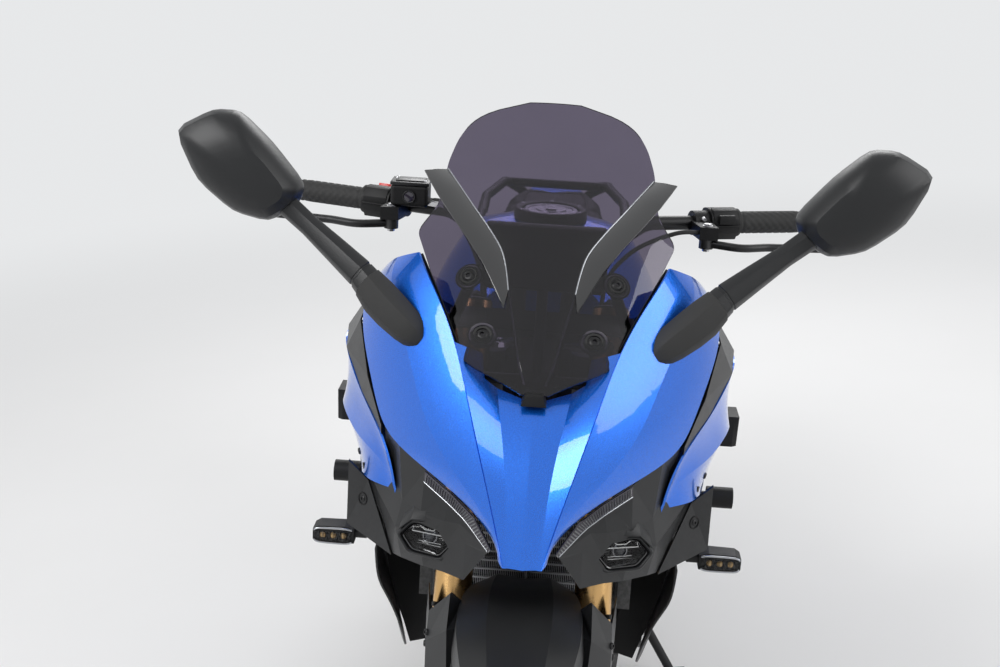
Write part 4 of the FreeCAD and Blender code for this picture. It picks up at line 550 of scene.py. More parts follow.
def bolt_circle(shape, centre, circle, count, out, radius, height, hex_head=False, start=0.0):
    """Screws on a circle about a line across the machine."""
    for i in range(count):
        angle = start + TURN * i / count
        at = Vector(centre) + Vector((0, circle * math.cos(angle), circle * math.sin(angle)))
        bolt(shape, at, out, radius, height, hex_head)


BESIDE = 400.0


def bolts_on(name, node, places, radius, height, made=BLACK_METAL, body="root", hex_head=False):
    """Screws seated on both outer sides of a CAD node, each at a distance back and a height."""
    shape = Shape()
    for y, z in places:
        at, out = touch(node, (BESIDE, y, z), -LEFT)
        bolt(shape, at, out, radius, height, hex_head)
    shape.both().make(name, made, body)


# Tyres with a road tread

FRONT_AXLE = Vector((0, 0, 300))
REAR_AXLE = Vector((0, 1460, 311))
TREAD_REPEATS = 15
TREAD_DEPTH = 4.2
TREAD_SWEEP = 0.055
ROWS_ACROSS = 44
RIM_SEAT = 216.0
RIM_FLANGE = 224.0
SIDEWALL_SHARE = 0.42
TYRE_WALL = 11.0
OFF_CROWN = 9  # the crown's rows have -1 to 1 here
GROOVE_SPAN = {1: (0.10, 0.86), 2: (0.34, 0.80)}  # long and short groove
GROOVE_IN, GROOVE_OUT = 0.05, 0.08


def tread_columns():
    """Shares of one tread repeat, each with the side and kind of the groove that it deepens."""
    return [(start + share, groove * deep) for start, groove in ((0.0, 1), (0.25, 2), (0.5, -1), (0.75, -2))
            for share, deep in ((0.0, 0), (0.012, 1), (0.05, 1), (0.062, 0), (0.12, 0), (0.18, 0))]


def add_tyre(name, body, axle, width, rim_width):
    """One closed skin: crown with slanted grooves, sidewalls with a raised band, beads and liner."""
    half = width / 2
    outer = axle.z
    sidewall = RIM_SEAT + (outer - RIM_SEAT) * SIDEWALL_SHARE
    rise = outer - sidewall
    crown = (half ** 2 + rise ** 2) / (2 * rise)
    reach = math.asin(half / crown)
    rows = [(crown * math.sin(t * reach), outer - crown + crown * math.cos(t * reach), t)
            for t in (-1 + 2 * i / ROWS_ACROSS for i in range(ROWS_ACROSS + 1))]
    bead = rim_width / 2 - 9.0
    side = [(half - 0.8, sidewall - 5), (half - 0.6, sidewall - 9), (half - 1.6, sidewall - 11),
            (bead + 15, RIM_FLANGE + 12), (bead + 13, RIM_FLANGE + 10), (bead + 12, RIM_FLANGE + 5),
            (bead + 3.6, RIM_FLANGE + 0.6), (bead - 0.3, RIM_SEAT + 0.3), (bead - 12, RIM_SEAT + 0.3),
            (bead - 11, RIM_FLANGE + 2), (bead, RIM_FLANGE + 12), (half - TYRE_WALL, sidewall - 3)]
    liner = [((half - TYRE_WALL) * s, sidewall - 3 + (outer - TYRE_WALL - sidewall + 3) * (1 - s * s))
             for s in (0.75, 0.5, 0.25, 0.0, -0.25, -0.5, -0.75)]
    rows += [(x, r, OFF_CROWN) for x, r in side + liner + [(-x, r) for x, r in side[::-1]]]
    rings = []
    for repeat in range(TREAD_REPEATS):
        for share, groove in tread_columns():
            ring = []
            for x, r, t in rows:
                sweep = TREAD_SWEEP
                if t != OFF_CROWN:
                    sweep *= abs(t) ** 1.2
                    if groove * t > 0:
                        begins, ends = GROOVE_SPAN[abs(groove)]
                        fade = min(1.0, (abs(t) - begins) / GROOVE_IN, (ends - abs(t)) / GROOVE_OUT)
                        r -= TREAD_DEPTH * max(0.0, fade)
                angle = TURN * (repeat + share) / TREAD_REPEATS + sweep
                ring.append(axle + Vector((x, r * math.cos(angle), r * math.sin(angle))))
            rings.append(ring)
    Shape().rings(rings, closed=True).make(name + "_tread", TYRE_RUBBER, body, replaces=(name,))


add_tyre("front_tyre", "front_wheel", FRONT_AXLE, 120.0, 100.0)
add_tyre("rear_tyre", "rear_wheel", REAR_AXLE, 188.0, 164.0)


# Drive chain: rollers and link plates on the loop's line

CHAIN_X = 110.0
CHAIN_PITCH = 15.875
SPROCKETS = ((800.0, 420.0, 17), (1460.0, 311.0, 44))  # y, z, teeth
INNER_PLATE, OUTER_PLATE, PLATE_WALL = 4.2, 6.6, 2.0
PIN_RADIUS, PIN_HALF = 2.4, 8.8
ROLLER_RADIUS = 5.0
LINK = ((-11.5, -3.5), (-9.5, -6.6), (-5.5, -6.6), (0, -4.2), (5.5, -6.6), (9.5, -6.6), (11.5, -3.5),
        (11.5, 3.5), (9.5, 6.6), (5.5, 6.6), (0, 4.2), (-5.5, 6.6), (-9.5, 6.6), (-11.5, 3.5))


def chain_line():
    """Points one pitch apart: along the top run, round the big sprocket, back and round the small one."""
    (fy, fz, ft), (ry, rz, rt) = SPROCKETS
    small, big = (CHAIN_PITCH / (2 * math.sin(math.pi / teeth)) for teeth in (ft, rt))
    span = math.hypot(ry - fy, rz - fz)
    tilt = math.atan2(rz - fz, ry - fy)
    wrap = math.asin((big - small) / span)
    top, low = tilt + math.pi / 2 + wrap, tilt - math.pi / 2 - wrap
    run = span * math.cos(wrap)
    around = big * (math.pi + 2 * wrap)
    total = 2 * run + around + small * (math.pi - 2 * wrap)
    count = 2 * round(total / CHAIN_PITCH / 2)

    def on(y, z, radius, angle, ahead=0.0):
        out = Vector((0, math.cos(angle), math.sin(angle)))
        return Vector((CHAIN_X, y, z)) + out * radius + Vector((0, out.z, -out.y)) * ahead

    spots = []
    for s in (total * i / count for i in range(count)):
        if s < run:
            spots.append(on(fy, fz, small, top, s))
        elif s < run + around:
            spots.append(on(ry, rz, big, top - (s - run) / big))
        elif s < 2 * run + around:
            spots.append(on(ry, rz, big, low, s - run - around))
        else:
            spots.append(on(fy, fz, small, low - (s - 2 * run - around) / small))
    return spots


def add_chain():
    spots = chain_line()
    shape = Shape()
    for i, at in enumerate(spots):
        after = spots[(i + 1) % len(spots)]
        ahead = (after - at).normalized()
        up = LEFT.cross(ahead)
        outline = [(at + after) / 2 + ahead * u + up * v for u, v in LINK]
        inset = INNER_PLATE if i % 2 else OUTER_PLATE
        for sign in (1, -1):
            shape.prism([p + LEFT * sign * inset for p in outline], LEFT * sign * PLATE_WALL)
        shape.spin([(-PIN_HALF, PIN_RADIUS), (PIN_HALF, PIN_RADIUS)], at, LEFT, 8)
        shape.spin([(-INNER_PLATE, ROLLER_RADIUS), (INNER_PLATE, ROLLER_RADIUS)], at, LEFT, 10)
    shape.make("drive_chain", STEEL, smooth=30, replaces=("chain",))


add_chain()


# Screen: one moulded sheet with two creases, its fins and its four rubber-mounted screws

SCREEN_TIP = Vector((0, -10, 927))
SCREEN_RISE = Vector((0, 330, 334)).normalized()
SCREEN_IN = Vector((0, SCREEN_RISE.z, -SCREEN_RISE.y))
SCREEN_R = 440.0
SCREEN_TOP = 469.0
SCREEN_WALL = 3.2
SCREEN_ROWS = 84
CORNER_LIFT = 24.0
CORNER_FROM, CORNER_RUN = 30, 60
CORNER_TOP, CORNER_FALL = 118, 84
SCREEN_EDGE = (  # up the screen, half width
    (0, 12), (34, 92), (110, 124), (262, 180), (300, 154), (375, 146), (410, 136), (438, 120), (452, 100),
    (461, 75), (466.5, 47), (469, 16))
SCREEN_CREASE = (  # up the screen, distance of the crease from the middle, its height
    (0, 9, 0), (40, 22, 5), (150, 44, 8), (214, 58, 8), (288, 102, 5), (345, 136, 0), (469, 140, 0))
SCREW_PLACES = ((99, 176), (72, 81))
FIN = (  # inner x and place up the screen, outer x and place, lift of the outer edge
    (44, 150, 48, 122, 9), (50, 184, 63, 152, 13), (58, 214, 78, 184, 17), (78, 250, 101, 224, 20),
    (102, 288, 127, 266, 21), (124, 324, 150, 306, 21), (146, 360, 172, 350, 21))


def screen_point(x, up, lift):
    angle = math.asin(x / SCREEN_R)
    radius = SCREEN_R + lift
    return (SCREEN_TIP + SCREEN_RISE * up + SCREEN_IN * (SCREEN_R - radius * math.cos(angle))
            + LEFT * radius * math.sin(angle))


def screen_edge(up):
    """The half width, with its corners softened over 18 mm."""
    spots = [max(0.0, min(SCREEN_TOP, up + step)) for step in (-9, -6, -3, 0, 3, 6, 9)]
    return sum(spread(SCREEN_EDGE, s)[0] for s in spots) / len(spots)


def screen_lift(x, up):
    """How far the crease, and the lower corner that lies over the cowl, stand off the plain curve."""
    crease, height = spread(SCREEN_CREASE, up)
    x = abs(x)
    corner = (CORNER_LIFT * max(0.0, min(1.0, (x - CORNER_FROM) / CORNER_RUN))
              * max(0.0, min(1.0, (CORNER_TOP - up) / CORNER_FALL)))
    if x <= crease:
        return height * (x / crease) ** 3 + corner
    return height * max(0.0, 1 - (x - crease) / max(1.0, screen_edge(up) - crease)) + corner


def add_screen():
    rows = []
    for up in (SCREEN_TOP * i / SCREEN_ROWS for i in range(SCREEN_ROWS + 1)):
        edge = screen_edge(up)
        crease = min(spread(SCREEN_CREASE, up)[0], edge * 0.96)
        half = [crease * i / 8 for i in range(9)] + [crease + (edge - crease) * i / 9 for i in range(1, 10)]
        rows.append([screen_point(x, up, screen_lift(x, up)) for x in [-x for x in half[:0:-1]] + half])
    count = len(rows[0])
    faces = [(i * count + j, i * count + j + 1, (i + 1) * count + j + 1, (i + 1) * count + j)
             for i in range(len(rows) - 1) for j in range(count - 1)]
    sheet = Shape().add([p for line in rows for p in line], faces)
    sheet.make("screen_sheet", SMOKE, wall=SCREEN_WALL, smooth=24, replaces=("windscreen",))


def add_fins():
    """Two folded fins, each with a painted highlight along its foot: a thin bright metal strip on the gloss
    black fin.
    """
    fins, highlight_strips = Shape(), Shape()
    rings, line = [], []
    for x_in, up_in, x_out, up_out, lift in FIN:
        foot = screen_point(x_in, up_in, screen_lift(x_in, up_in) + 0.4)
        edge = screen_point(x_out, up_out, lift)
        across = (edge - foot).normalized()
        behind = across.cross(SCREEN_RISE).normalized() * 4.0
        if behind.dot(SCREEN_IN) > 0:
            behind = -behind
        middle = foot.lerp(edge, 0.55)
        rings.append([foot, middle + behind * 0.25, edge, edge + behind * 0.7, middle + behind * 1.3,
                      foot + behind])
        line.append(foot + behind + across * 1.5)
    fins.rings(rings).both()
    fins.make("screen_fins", GLOSS_BLACK, bevel=0.8, smooth=34, replaces=("screen_blades",))
    # painted highlight: a bright metal strip along each fin's foot, which is gloss black
    highlight_strips.tube(line, 1.15, sides=8, steps=4).both()
    highlight_strips.make("screen_fin_painted_highlights", CHROME_AND_HIGHLIGHT, slot="gloss_black", smooth=50)


def add_screen_screws():
    wells, rings, screws, ribs, foot = Shape(), Shape(), Shape(), Shape(), Shape()
    for x, up in SCREW_PLACES:
        for side in (1, -1):
            at = screen_point(side * x, up, screen_lift(x, up))
            near = screen_point(side * (x + 4), up, screen_lift(x + 4, up))
            out = (near - at).cross(SCREEN_RISE).normalized()
            if out.dot(SCREEN_IN) > 0:
                out = -out
            wells.spin([(-0.6, 20), (1.4, 18.6), (2.0, 16.8), (1.5, 15.2), (-0.6, 14.6)], at, out, 40)
            rings.spin([(-1.0, 13.2), (2.6, 12.8), (3.6, 11.4), (3.0, 9.8), (0.6, 9.4)], at, out, 36)
            bolt(screws, at + out * 0.4, out, 8.2, 4.2)
    line = []
    for up in (14, 40, 70, 100, 130, 158):
        crease = spread(SCREEN_CREASE, up)[0]
        line.append(screen_point(crease, up, screen_lift(crease, up) - 0.6))
    ribs.tube(line, 2.2, sides=8, steps=4)
    foot.rings([[(x, y, z) for x, z in ((-17, 915), (17, 915), (12, 931), (-12, 931))] for y in (-20, 4)])
    wells.make("screen_wells", SMOKE_DARK, smooth=50)
    ribs.both().make("screen_creases", SMOKE_DARK, smooth=60)
    foot.make("screen_foot", DARK_PLASTIC, bevel=1.5, smooth=30)
    rings.make("screen_rubbers", RUBBER, smooth=50)
    screws.make("screen_screws", BLACK_METAL)


add_screen()
add_fins()
add_screen_screws()


# Headlights: dark case, chromed arch with a projector, dark cover and a hood

LAMP_CENTRE = Vector((128, -20, 723))
LAMP_AIM = Vector((0.28, -0.93, 0.1)).normalized()
LAMP_SIDE = UP.cross(-LAMP_AIM).normalized()
LAMP_UP = LAMP_SIDE.cross(LAMP_AIM).normalized()
LAMP_HEX = ((-36, 0), (-20, 19), (22, 21), (37, 2), (20, -19), (-18, -20))
LAMP_ARCH = ((-24, 4, 0), (-20, 13, 0), (-13, 14, 1), (-6, 9, 1), (6, 9, 1), (13, 14, 1), (20, 14, 0),
             (26, 4, 0))
LAMP_HOOD = ((-40, 22, 8), (-22, 40, 24), (0, 41, 26), (24, 42, 27), (46, 22, 8))  # across, top, lip


def lamp_at(u, v, ahead):
    return LAMP_CENTRE + LAMP_SIDE * u + LAMP_UP * v + LAMP_AIM * ahead


def lamp_ring(grow, ahead):
    """The lamp's hexagon, grown by a distance at its corners."""
    scales = [(u, v, 1 + grow / math.hypot(u, v)) for u, v in LAMP_HEX]
    return soft_ring([lamp_at(u * scale, -v * scale, ahead) for u, v, scale in scales])


def add_headlights():
    case, arch, lens, bezel, glass, frame_ring = (Shape() for _ in range(6))
    case.rings([lamp_ring(*ring) for ring in (
        (-12, -54), (-2, -48), (0, -20), (0, 9), (-2, 10.5), (-3.4, 9.5), (-4, 3), (-6, -10), (-11, -20))])
    back = [(u * 0.7, v * 0.8 + 2, -16) for u, v, _ in LAMP_ARCH]
    arch.rings([[lamp_at(*p) for p in LAMP_ARCH], [lamp_at(*p) for p in back],
                [lamp_at(u, v + 1.5, a - 1) for u, v, a in back],
                [lamp_at(u, v + 1.5, a) for u, v, a in LAMP_ARCH]], closed=True)
    for v in (-9, -12.5):
        arch.prism([lamp_at(-17, v, -4), lamp_at(17, v, -4), lamp_at(13, v, -13), lamp_at(-13, v, -13)],
                   LAMP_UP * 0.8)
    at = lamp_at(0, -0.5, -6)
    dome = [(6 * math.sin(a), 8 * math.cos(a)) for a in (math.radians(10 * i) for i in range(1, 10))]
    lens.spin([(-10, 7.8), (0, 8)] + dome, at, LAMP_AIM, 36)
    bezel.spin([(-12, 9), (-2, 10.8), (1.2, 10.4), (1.4, 9.0), (0, 8.3), (-10, 8.2)], at, LAMP_AIM, 36)
    glass.rings([lamp_ring(*ring) for ring in ((-3.6, 6.5), (-3.6, 9), (-5.5, 10.4), (-14, 11.6))])
    frame_ring.rings([lamp_ring(*ring) for ring in (
        (0.6, 4), (0.6, 12), (2.4, 14), (5.5, 13), (9, 5), (9, -2), (0.6, -2))], closed=True)
    hood = []
    for u, top, low in LAMP_HOOD:
        seat, _ = touch("headlight_cowls", lamp_at(u, top, 90), -LAMP_AIM)
        hood.append([seat + LAMP_AIM * 0.4, lamp_at(u * 0.93, low + 1.5, 17),
                     lamp_at(u * 0.93, low - 0.5, 16), lamp_at(u * 0.93, low, -2), seat - LAMP_AIM * 6])
    frame_ring.rings(hood)
    case.both().make("headlight_cases", GLOSS_BLACK, smooth=30, replaces=("headlights",))
    arch.both().make("headlight_reflectors", CHROME, smooth=30)
    lens.both().make("headlight_projectors", PROJECTOR, smooth=60)
    bezel.both().make("headlight_bezels", CHROME_AND_HIGHLIGHT)
    glass.both().make("headlight_glasses", CLEAR_COVER)
    frame_ring.both().make("lamp_surrounds", BLACK_PLASTIC, bevel=0.8, smooth=28)


# Day lamps: a ribbed strip between the painted cowl's edge and the brow below it

DAY_LAMP = (  # points of the painted cowl's edge and of the brow
    ((41, -102, 751), (44, -100, 746)), ((66, -76, 782), (84, -68, 767)),
    ((98, -50, 801), (106, -54, 763)), ((136, -20, 817), (139, -27, 760)))
DAY_WIDTH = 13.5
DAY_STEPS = 66
TOWARDS_FRONT = Vector((0, -0.98, -0.2)).normalized()


def add_day_lamps():
    strip = []
    for top, brow in DAY_LAMP:
        top, brow = Vector(top), Vector(brow)
        strip.append((top, top.lerp(brow, min(1.0, DAY_WIDTH / (brow - top).length))))
    places = []
    for i in range(DAY_STEPS + 1):
        s = (len(strip) - 1) * i / DAY_STEPS
        k = min(len(strip) - 2, int(s))
        places.append([a.lerp(b, s - k) for a, b in zip(strip[k], strip[k + 1])])
    bed, ribs, rims = Shape(), Shape(), Shape()
    high, low = TOWARDS_FRONT * 2.4, TOWARDS_FRONT * 0.3
    bed.rings([[a + high, b + high, b + low, a + low] for a, b in places])
    foot, crest = TOWARDS_FRONT * 2.5, TOWARDS_FRONT * 4.2
    for (a, b), (c, d) in zip(places[:-1:2], places[1::2]):
        a, b, c, d = a.lerp(b, 0.12), b.lerp(a, 0.12), c.lerp(d, 0.12), d.lerp(c, 0.12)
        ribs.rings([[a + foot, c + foot, (a + c) / 2 + crest], [b + foot, d + foot, (b + d) / 2 + crest]])
    rims.tube([b + TOWARDS_FRONT * 2.6 for _, b in places[1:-1:8] + places[-1:]], 1.0, sides=8, steps=4)
    bed.both().make("day_lamp_beds", SMOKE_DARK, slot="lamp", smooth=30)
    ribs.both().make("day_lamp_ribs", DAY_RIB, smooth=20)
    rims.both().make("day_lamp_rims", CHROME_AND_HIGHLIGHT, smooth=60)


add_headlights()
add_day_lamps()


# Turn signals: clear ribbed lens in a slim gloss black frame, in front and at the back; the frame is drawn as
# bright strips, a painted highlight

SIGNALS = ((248, 118, 650, -1), (116, 1790, 640, 1))  # x, face, height, way that they look


def add_signals():
    lens, bulb, bars = Shape(), Shape(), Shape()
    for x, y, z, ahead in SIGNALS:
        def at(dx, out, dz):
            return Vector((x + dx, y + ahead * out, z + dz))
        lens.rings([[at(dx, t, -h), at(dx, t, h), at(dx, 0.2, h), at(dx, 0.2, -h)]
                    for dx, h, t in ((4, 7.5, 3), (14, 10.2, 4.6), (50, 9.2, 4.6), (57, 5.5, 3))])
        for dx in (8 + i * 5.2 for i in range(9)):
            lens.rings([[at(dx - 1.6, 4.4, v), at(dx + 1.6, 4.4, v), at(dx, 5.9, v)] for v in (-7, 7)])
        for dx in (15, 30, 45):
            bulb.spin([(0, 4.6), (2.4, 3.2)], at(dx, 1.2, 0), (0, ahead, 0), 14)
        # painted highlight: the frame's top and bottom edges as bright metal strips, though the frame is
        # gloss black
        for v in (11.4, -11.4):
            bars.tube([at(3, 1.5, v * 0.82), at(14, 2.5, v), at(50, 2.5, v * 0.94), at(58, 1.5, v * 0.62)],
                      1.6, sides=8)
    lens.both().make("signal_lenses", CLEAR_COVER, smooth=24)
    bulb.both().make("signal_lamps", AMBER)
    bars.both().make("signal_painted_highlights", CHROME_AND_HIGHLIGHT, slot="gloss_black", smooth=50)


add_signals()


# Handlebar: patterned grips, bar ends, switches, fluid tank and pivots, all riding on the steering

BAR_END = Vector((412, 490, 1079))
BAR_BEND = Vector((150, 401, 1078))
BAR_RUN = (BAR_END - BAR_BEND).normalized()
BAR_FORE = BAR_RUN.cross(UP).normalized()
BAR_UP = BAR_FORE.cross(BAR_RUN).normalized()
BAR_TURN = Matrix((BAR_RUN, BAR_FORE, BAR_UP)).transposed()
LEVER_PERCH = BAR_END - BAR_RUN * 178
GRIP_FROM = 14
GRIP_LENGTH = 116
GRIP_ROWS = 58
GRIP_SIDES = 48
PADS_ROUND = 4
PADS_SLANT = 0.26


def bar_at(inwards, fore=0.0, up=0.0):
    return BAR_END - BAR_RUN * inwards + BAR_FORE * fore + BAR_UP * up


def grip_radius(inwards, angle):
    """Pads between crossing grooves, a groove at each end and a flange inside."""
    if 26 < inwards < 118:
        round_bar, along = angle * PADS_ROUND, inwards * PADS_SLANT
        pads = abs(math.sin(round_bar + along)) * abs(math.sin(round_bar - along))
        return 16.1 + 1.3 * min(1.0, pads * 2.4)
    if 120 <= inwards <= 123 or 18 <= inwards <= 20:
        return 16.0
    return 21.8 if inwards > 124 else 17.0


def add_grips():
    sleeve, weight = Shape(), Shape()
    rings = []
    for inwards in (GRIP_FROM + GRIP_LENGTH * i / GRIP_ROWS for i in range(GRIP_ROWS + 1)):
        rings.append([])
        for angle in (TURN * j / GRIP_SIDES for j in range(GRIP_SIDES)):
            radius = grip_radius(inwards, angle)
            rings[-1].append(bar_at(inwards, math.cos(angle) * radius, math.sin(angle) * radius))
    sleeve.rings(rings).both().make("grip_sleeves", RUBBER, "steering", smooth=50, replaces=("grips",))
    weight.spin([(0, 11), (0.6, 15.6), (5, 16), (5.6, 14.6), (7, 14.6), (7.6, 16), (13, 16), (13.6, 12)],
                bar_at(0), -BAR_RUN, 36)
    bolt(weight, bar_at(0), BAR_RUN, 6.5, 1.6)
    weight.both().make("bar_ends", BLACK_METAL, "steering")


def add_switches():
    left, right, red, lid, metal, glass, pivots = (Shape() for _ in range(7))

    def bars(shape, outline, ends):
        shape.rings([[bar_at(d, f, u) for f, u in outline] for d in ends])

    for shape in (left, right):
        bars(shape, ((-24, -12), (-27.5, -8), (-27.5, 12), (-22, 19), (-16, 21), (-16, -16)), (133, 175))
        shape.block(bar_at(154, 3, 0), (21.6, 25.6, 0.9), BAR_TURN)
        bars(shape, ((6, -25), (18, -23), (24, -12), (24, 10), (16, 22), (4, 25)), (134, 174))
    for at, half in (((144, -29, 8), (6.5, 3, 5)), ((160, -29.5, 6), (8, 3.4, 3)),
                     ((163, -28.5, -5), (5, 2.6, 3.4)), ((155, 27, 10), (13, 3.4, 7))):
        left.block(bar_at(*at), half, BAR_TURN)
    left.spin([(0, 6), (4, 6), (5, 4.6)], bar_at(147, -26, -6), -BAR_FORE, 20)
    right.block(bar_at(160, -29, -5), (6, 3, 5), BAR_TURN)
    bars(red, ((-30, 10), (-31.5, 18), (-26, 23), (-20, 24), (-18, 18)), (139, 158))
    tank_top = LEVER_PERCH + Vector((-29, -39, 41))
    lid.block(tank_top + UP * 1.6, (29.6, 23.6, 2.6))
    lid.block(tank_top + UP * 5.0, (22, 16, 1.0))
    for end in (-1, 1):
        bolt(metal, tank_top + Vector((end * 22, end * 12, 4.2)), UP, 3.6, 2.6)
    front = LEVER_PERCH + Vector((-29, -62.4, 23))
    lid.spin([(0, 10.5), (2.2, 10.2), (2.4, 8.2), (0.8, 8.0)], front, (0, -1, 0), 28)
    glass.spin([(0.4, 8.0), (1.5, 7.4), (1.9, 4)], front, (0, -1, 0), 24)
    bolt(pivots, LEVER_PERCH + Vector((-2, -54, 6)), UP, 6.5, 4, hex_head=True)
    bolt(pivots, LEVER_PERCH + Vector((-2, -54, -28.5)), -UP, 6.0, 5, hex_head=True)
    for up in (-9, 9):
        bolt(pivots, bar_at(190, 17, up), BAR_FORE, 4.0, 5)
    pivots.both().make("lever_pivots", STEEL, "steering")
    left.make("left_switches", DARK_PLASTIC, "steering", bevel=1.4, smooth=34)
    right.flip().make("right_switches", DARK_PLASTIC, "steering", bevel=1.4, smooth=34)
    red.flip().make("stop_switch", RED_PLASTIC, "steering", bevel=1.2, smooth=34)
    lid.flip().make("fluid_tank_lid", BLACK_METAL, "steering", bevel=1.2, smooth=34)
    metal.flip().make("fluid_tank_screws", STEEL, "steering")
    glass.flip().make("fluid_tank_sight", SMOKE_DARK, "steering", smooth=50)


def add_bar_hoses():
    """Brake hose and clutch cable from the perches down to the upper clamp."""
    hose, cable, ends = Shape(), Shape(), Shape()
    right = [LEVER_PERCH + Vector(p) for p in ((-56, -44, 14), (-84, -52, 12), (-122, -66, -30))]
    left = [LEVER_PERCH + Vector(p) for p in ((-14, -58, -4), (-52, -70, -6), (-110, -76, -34))]
    hose.tube(right + [(98, 352, 1000), (90, 330, 958)], 5.2, sides=12, steps=8)
    ends.tube(right[:2], 7.2, sides=6, steps=2)
    cable.tube(left + [(96, 346, 1002), (88, 326, 958)], 3.4, sides=10, steps=8)
    hose.flip().make("front_brake_hose", RUBBER, "steering", smooth=60)
    cable.make("clutch_cable", RUBBER, "steering", smooth=60)
    ends.flip().make("hose_union", STEEL, "steering", smooth=30)


add_grips()
add_switches()
add_bar_hoses()


# Instrument: a display that faces the rider, in a case on its post

CASE_OUTLINE = ((172, 1021), (204, 1010), (242, 1015), (246, 1024), (214, 1104), (204, 1108), (192, 1104),
                (180, 1052))


def add_instrument():
    case, face, buttons = Shape(), Shape(), Shape()
    case.rings([[(x, y + (225 - y) * tuck, z + (1058 - z) * tuck) for y, z in CASE_OUTLINE]
                for x, tuck in ((-88, 0.12), (-82, 0), (82, 0), (88, 0.12))])
    low, high = Vector((0, 247.2, 1026)), Vector((0, 216.2, 1103.5))
    out = (high - low).cross(LEFT).normalized()
    rim = [low - LEFT * 76, low + LEFT * 76, high + LEFT * 80, high - LEFT * 80]
    face.prism(soft_ring([p - out * 3 for p in rim], 0.08), out * 4.2)
    for x in (-84, 84):
        for share in (0.3, 0.5):
            buttons.spin([(0, 4), (2.5, 4), (3.2, 3)], low.lerp(high, share) + LEFT * x - out * 2, out, 16)
    case.make("instrument_case", BLACK_PLASTIC, bevel=2.0, segments=3, smooth=34, replaces=("cockpit",))
    face.make("instrument_glass", GLOSS_BLACK, bevel=0.8, smooth=30)
    buttons.make("instrument_buttons", RUBBER)


add_instrument()


# Mirrors: kite-shaped housings, arms with a joint, boots that sit on the cowl

MIRROR_RIM = ((518, 1220), (464, 1250), (424, 1250), (378, 1208), (330, 1150), (338, 1122), (378, 1094),
              (432, 1106), (486, 1150))
MIRROR_SHRINK = 0.955
MIRROR_RINGS = (  # size of the ring, its y, and how far it leans towards the machine
    (0.34, 113, 16), (0.60, 117, 12), (0.84, 128, 5), (0.96, 142, 1), (1.0, 156, 0), (1.0, 166, 0),
    (0.985, 168, 0), (0.955, 167.4, 0), (0.95, 164.6, 0))
MIRROR_ARM = (  # share, x, y, z, half width, half depth
    (0, 168, 54, 984, 19, 17), (1, 212, 76, 1016, 25, 21), (2, 248, 96, 1050, 20, 15),
    (3, 330, 136, 1106, 14, 11), (4, 376, 149, 1140, 17, 12))
ARM_RUN = Vector((194, 86, 148)).normalized()
ARM_ACROSS = ARM_RUN.cross(Vector((0, 1, 0))).normalized()
ARM_DEPTH = ARM_RUN.cross(ARM_ACROSS).normalized()


def kite_ring(scale, y, lean):
    cx = sum(x for x, _ in MIRROR_RIM) / len(MIRROR_RIM)
    cz = sum(z for _, z in MIRROR_RIM) / len(MIRROR_RIM)
    scale *= MIRROR_SHRINK
    return soft_ring([Vector((cx + (x - cx) * scale - lean, y, cz + (z - cz) * scale - lean * 0.6))
                      for x, z in MIRROR_RIM], 0.26)


def arm_ring(share, grow, back=0.0):
    """A ring with six soft flats about the mirror arm; share looks its place up in the table."""
    x, y, z, half, thick = spread(MIRROR_ARM, share)
    corners = [Vector((x, y, z)) + ARM_ACROSS * ((half * 1.1 + grow) * math.cos(a))
               + ARM_DEPTH * ((thick * 1.1 + grow) * math.sin(a)) for a in (TURN * i / 6 for i in range(6))]
    return [at - ARM_RUN * back for at in soft_ring(corners, 0.2)]


def add_mirrors():
    housings, arms, boots, joints = Shape(), Shape(), Shape(), Shape()
    housings.rings([kite_ring(*ring) for ring in MIRROR_RINGS])
    arms.rings([arm_ring(*ring) for ring in (
        (1.3, -0.6), (1.86, -0.6), (1.88, -1.8), (1.93, -1.8), (1.95, -0.4), (2.4, 0), (2.9, 0), (3.4, 0),
        (3.7, 1), (4.0, 0.5))])
    boots.rings([arm_ring(*ring) for ring in (
        (0, -15, 22), (0, -8, 19), (0, -2, 12), (0, 2.5, 3), (0.2, 4.4), (0.7, 3.4), (1.15, 2.4), (1.5, 1.4),
        (1.62, 1.0), (1.64, -0.6))])
    joints.spin([(-9, 0.5), (-8, 9), (-3, 13.5), (3, 13.5), (8, 9), (9, 0.5)], (361, 146, 1124), ARM_RUN, 28)
    housings.both().make("mirror_housings", BLACK_PLASTIC, smooth=26, replaces=("mirrors",))
    arms.both().make("mirror_arms", BLACK_PLASTIC, smooth=24)
    boots.both().make("mirror_boots", RUBBER, smooth=24)
    joints.both().make("mirror_joints", GLOSS_BLACK, smooth=50)


add_mirrors()


# Cowls: screws, backing behind the winglets, dark liners beside the radiator and behind the seams

WINGLET_BACKS = (
    ((236, 104, 772), (214, 86, 776), (212, 92, 774), (238, 112, 768)),
    ((230, 98, 752), (212, 84, 752), (210, 92, 750), (234, 108, 748)),
    ((196, 58, 700), (182, 46, 704), (180, 56, 704), (198, 68, 700)),
    ((186, 46, 668), (176, 38, 670), (174, 48, 670), (188, 56, 668)))
SHROUD = (  # outer and inner edge, from the top down
    ((229, 300, 660), (168, 340, 690)), ((226, 310, 560), (168, 340, 600)),
    ((214, 318, 470), (166, 342, 500)), ((194, 326, 410), (150, 346, 410)),
    ((184, 346, 360), (136, 352, 366)))
NOSE = (  # the ridge and the flank's edge, from the front up
    ((57, -78, 843), (136, -20, 820)), ((84, -32, 922), (202, 50, 854)), ((108, 15, 985), (228, 95, 908)),
    ((140, 60, 1040), (248, 150, 973)), ((168, 105, 1080), (223, 190, 1037)))
LINER_WALL = 2
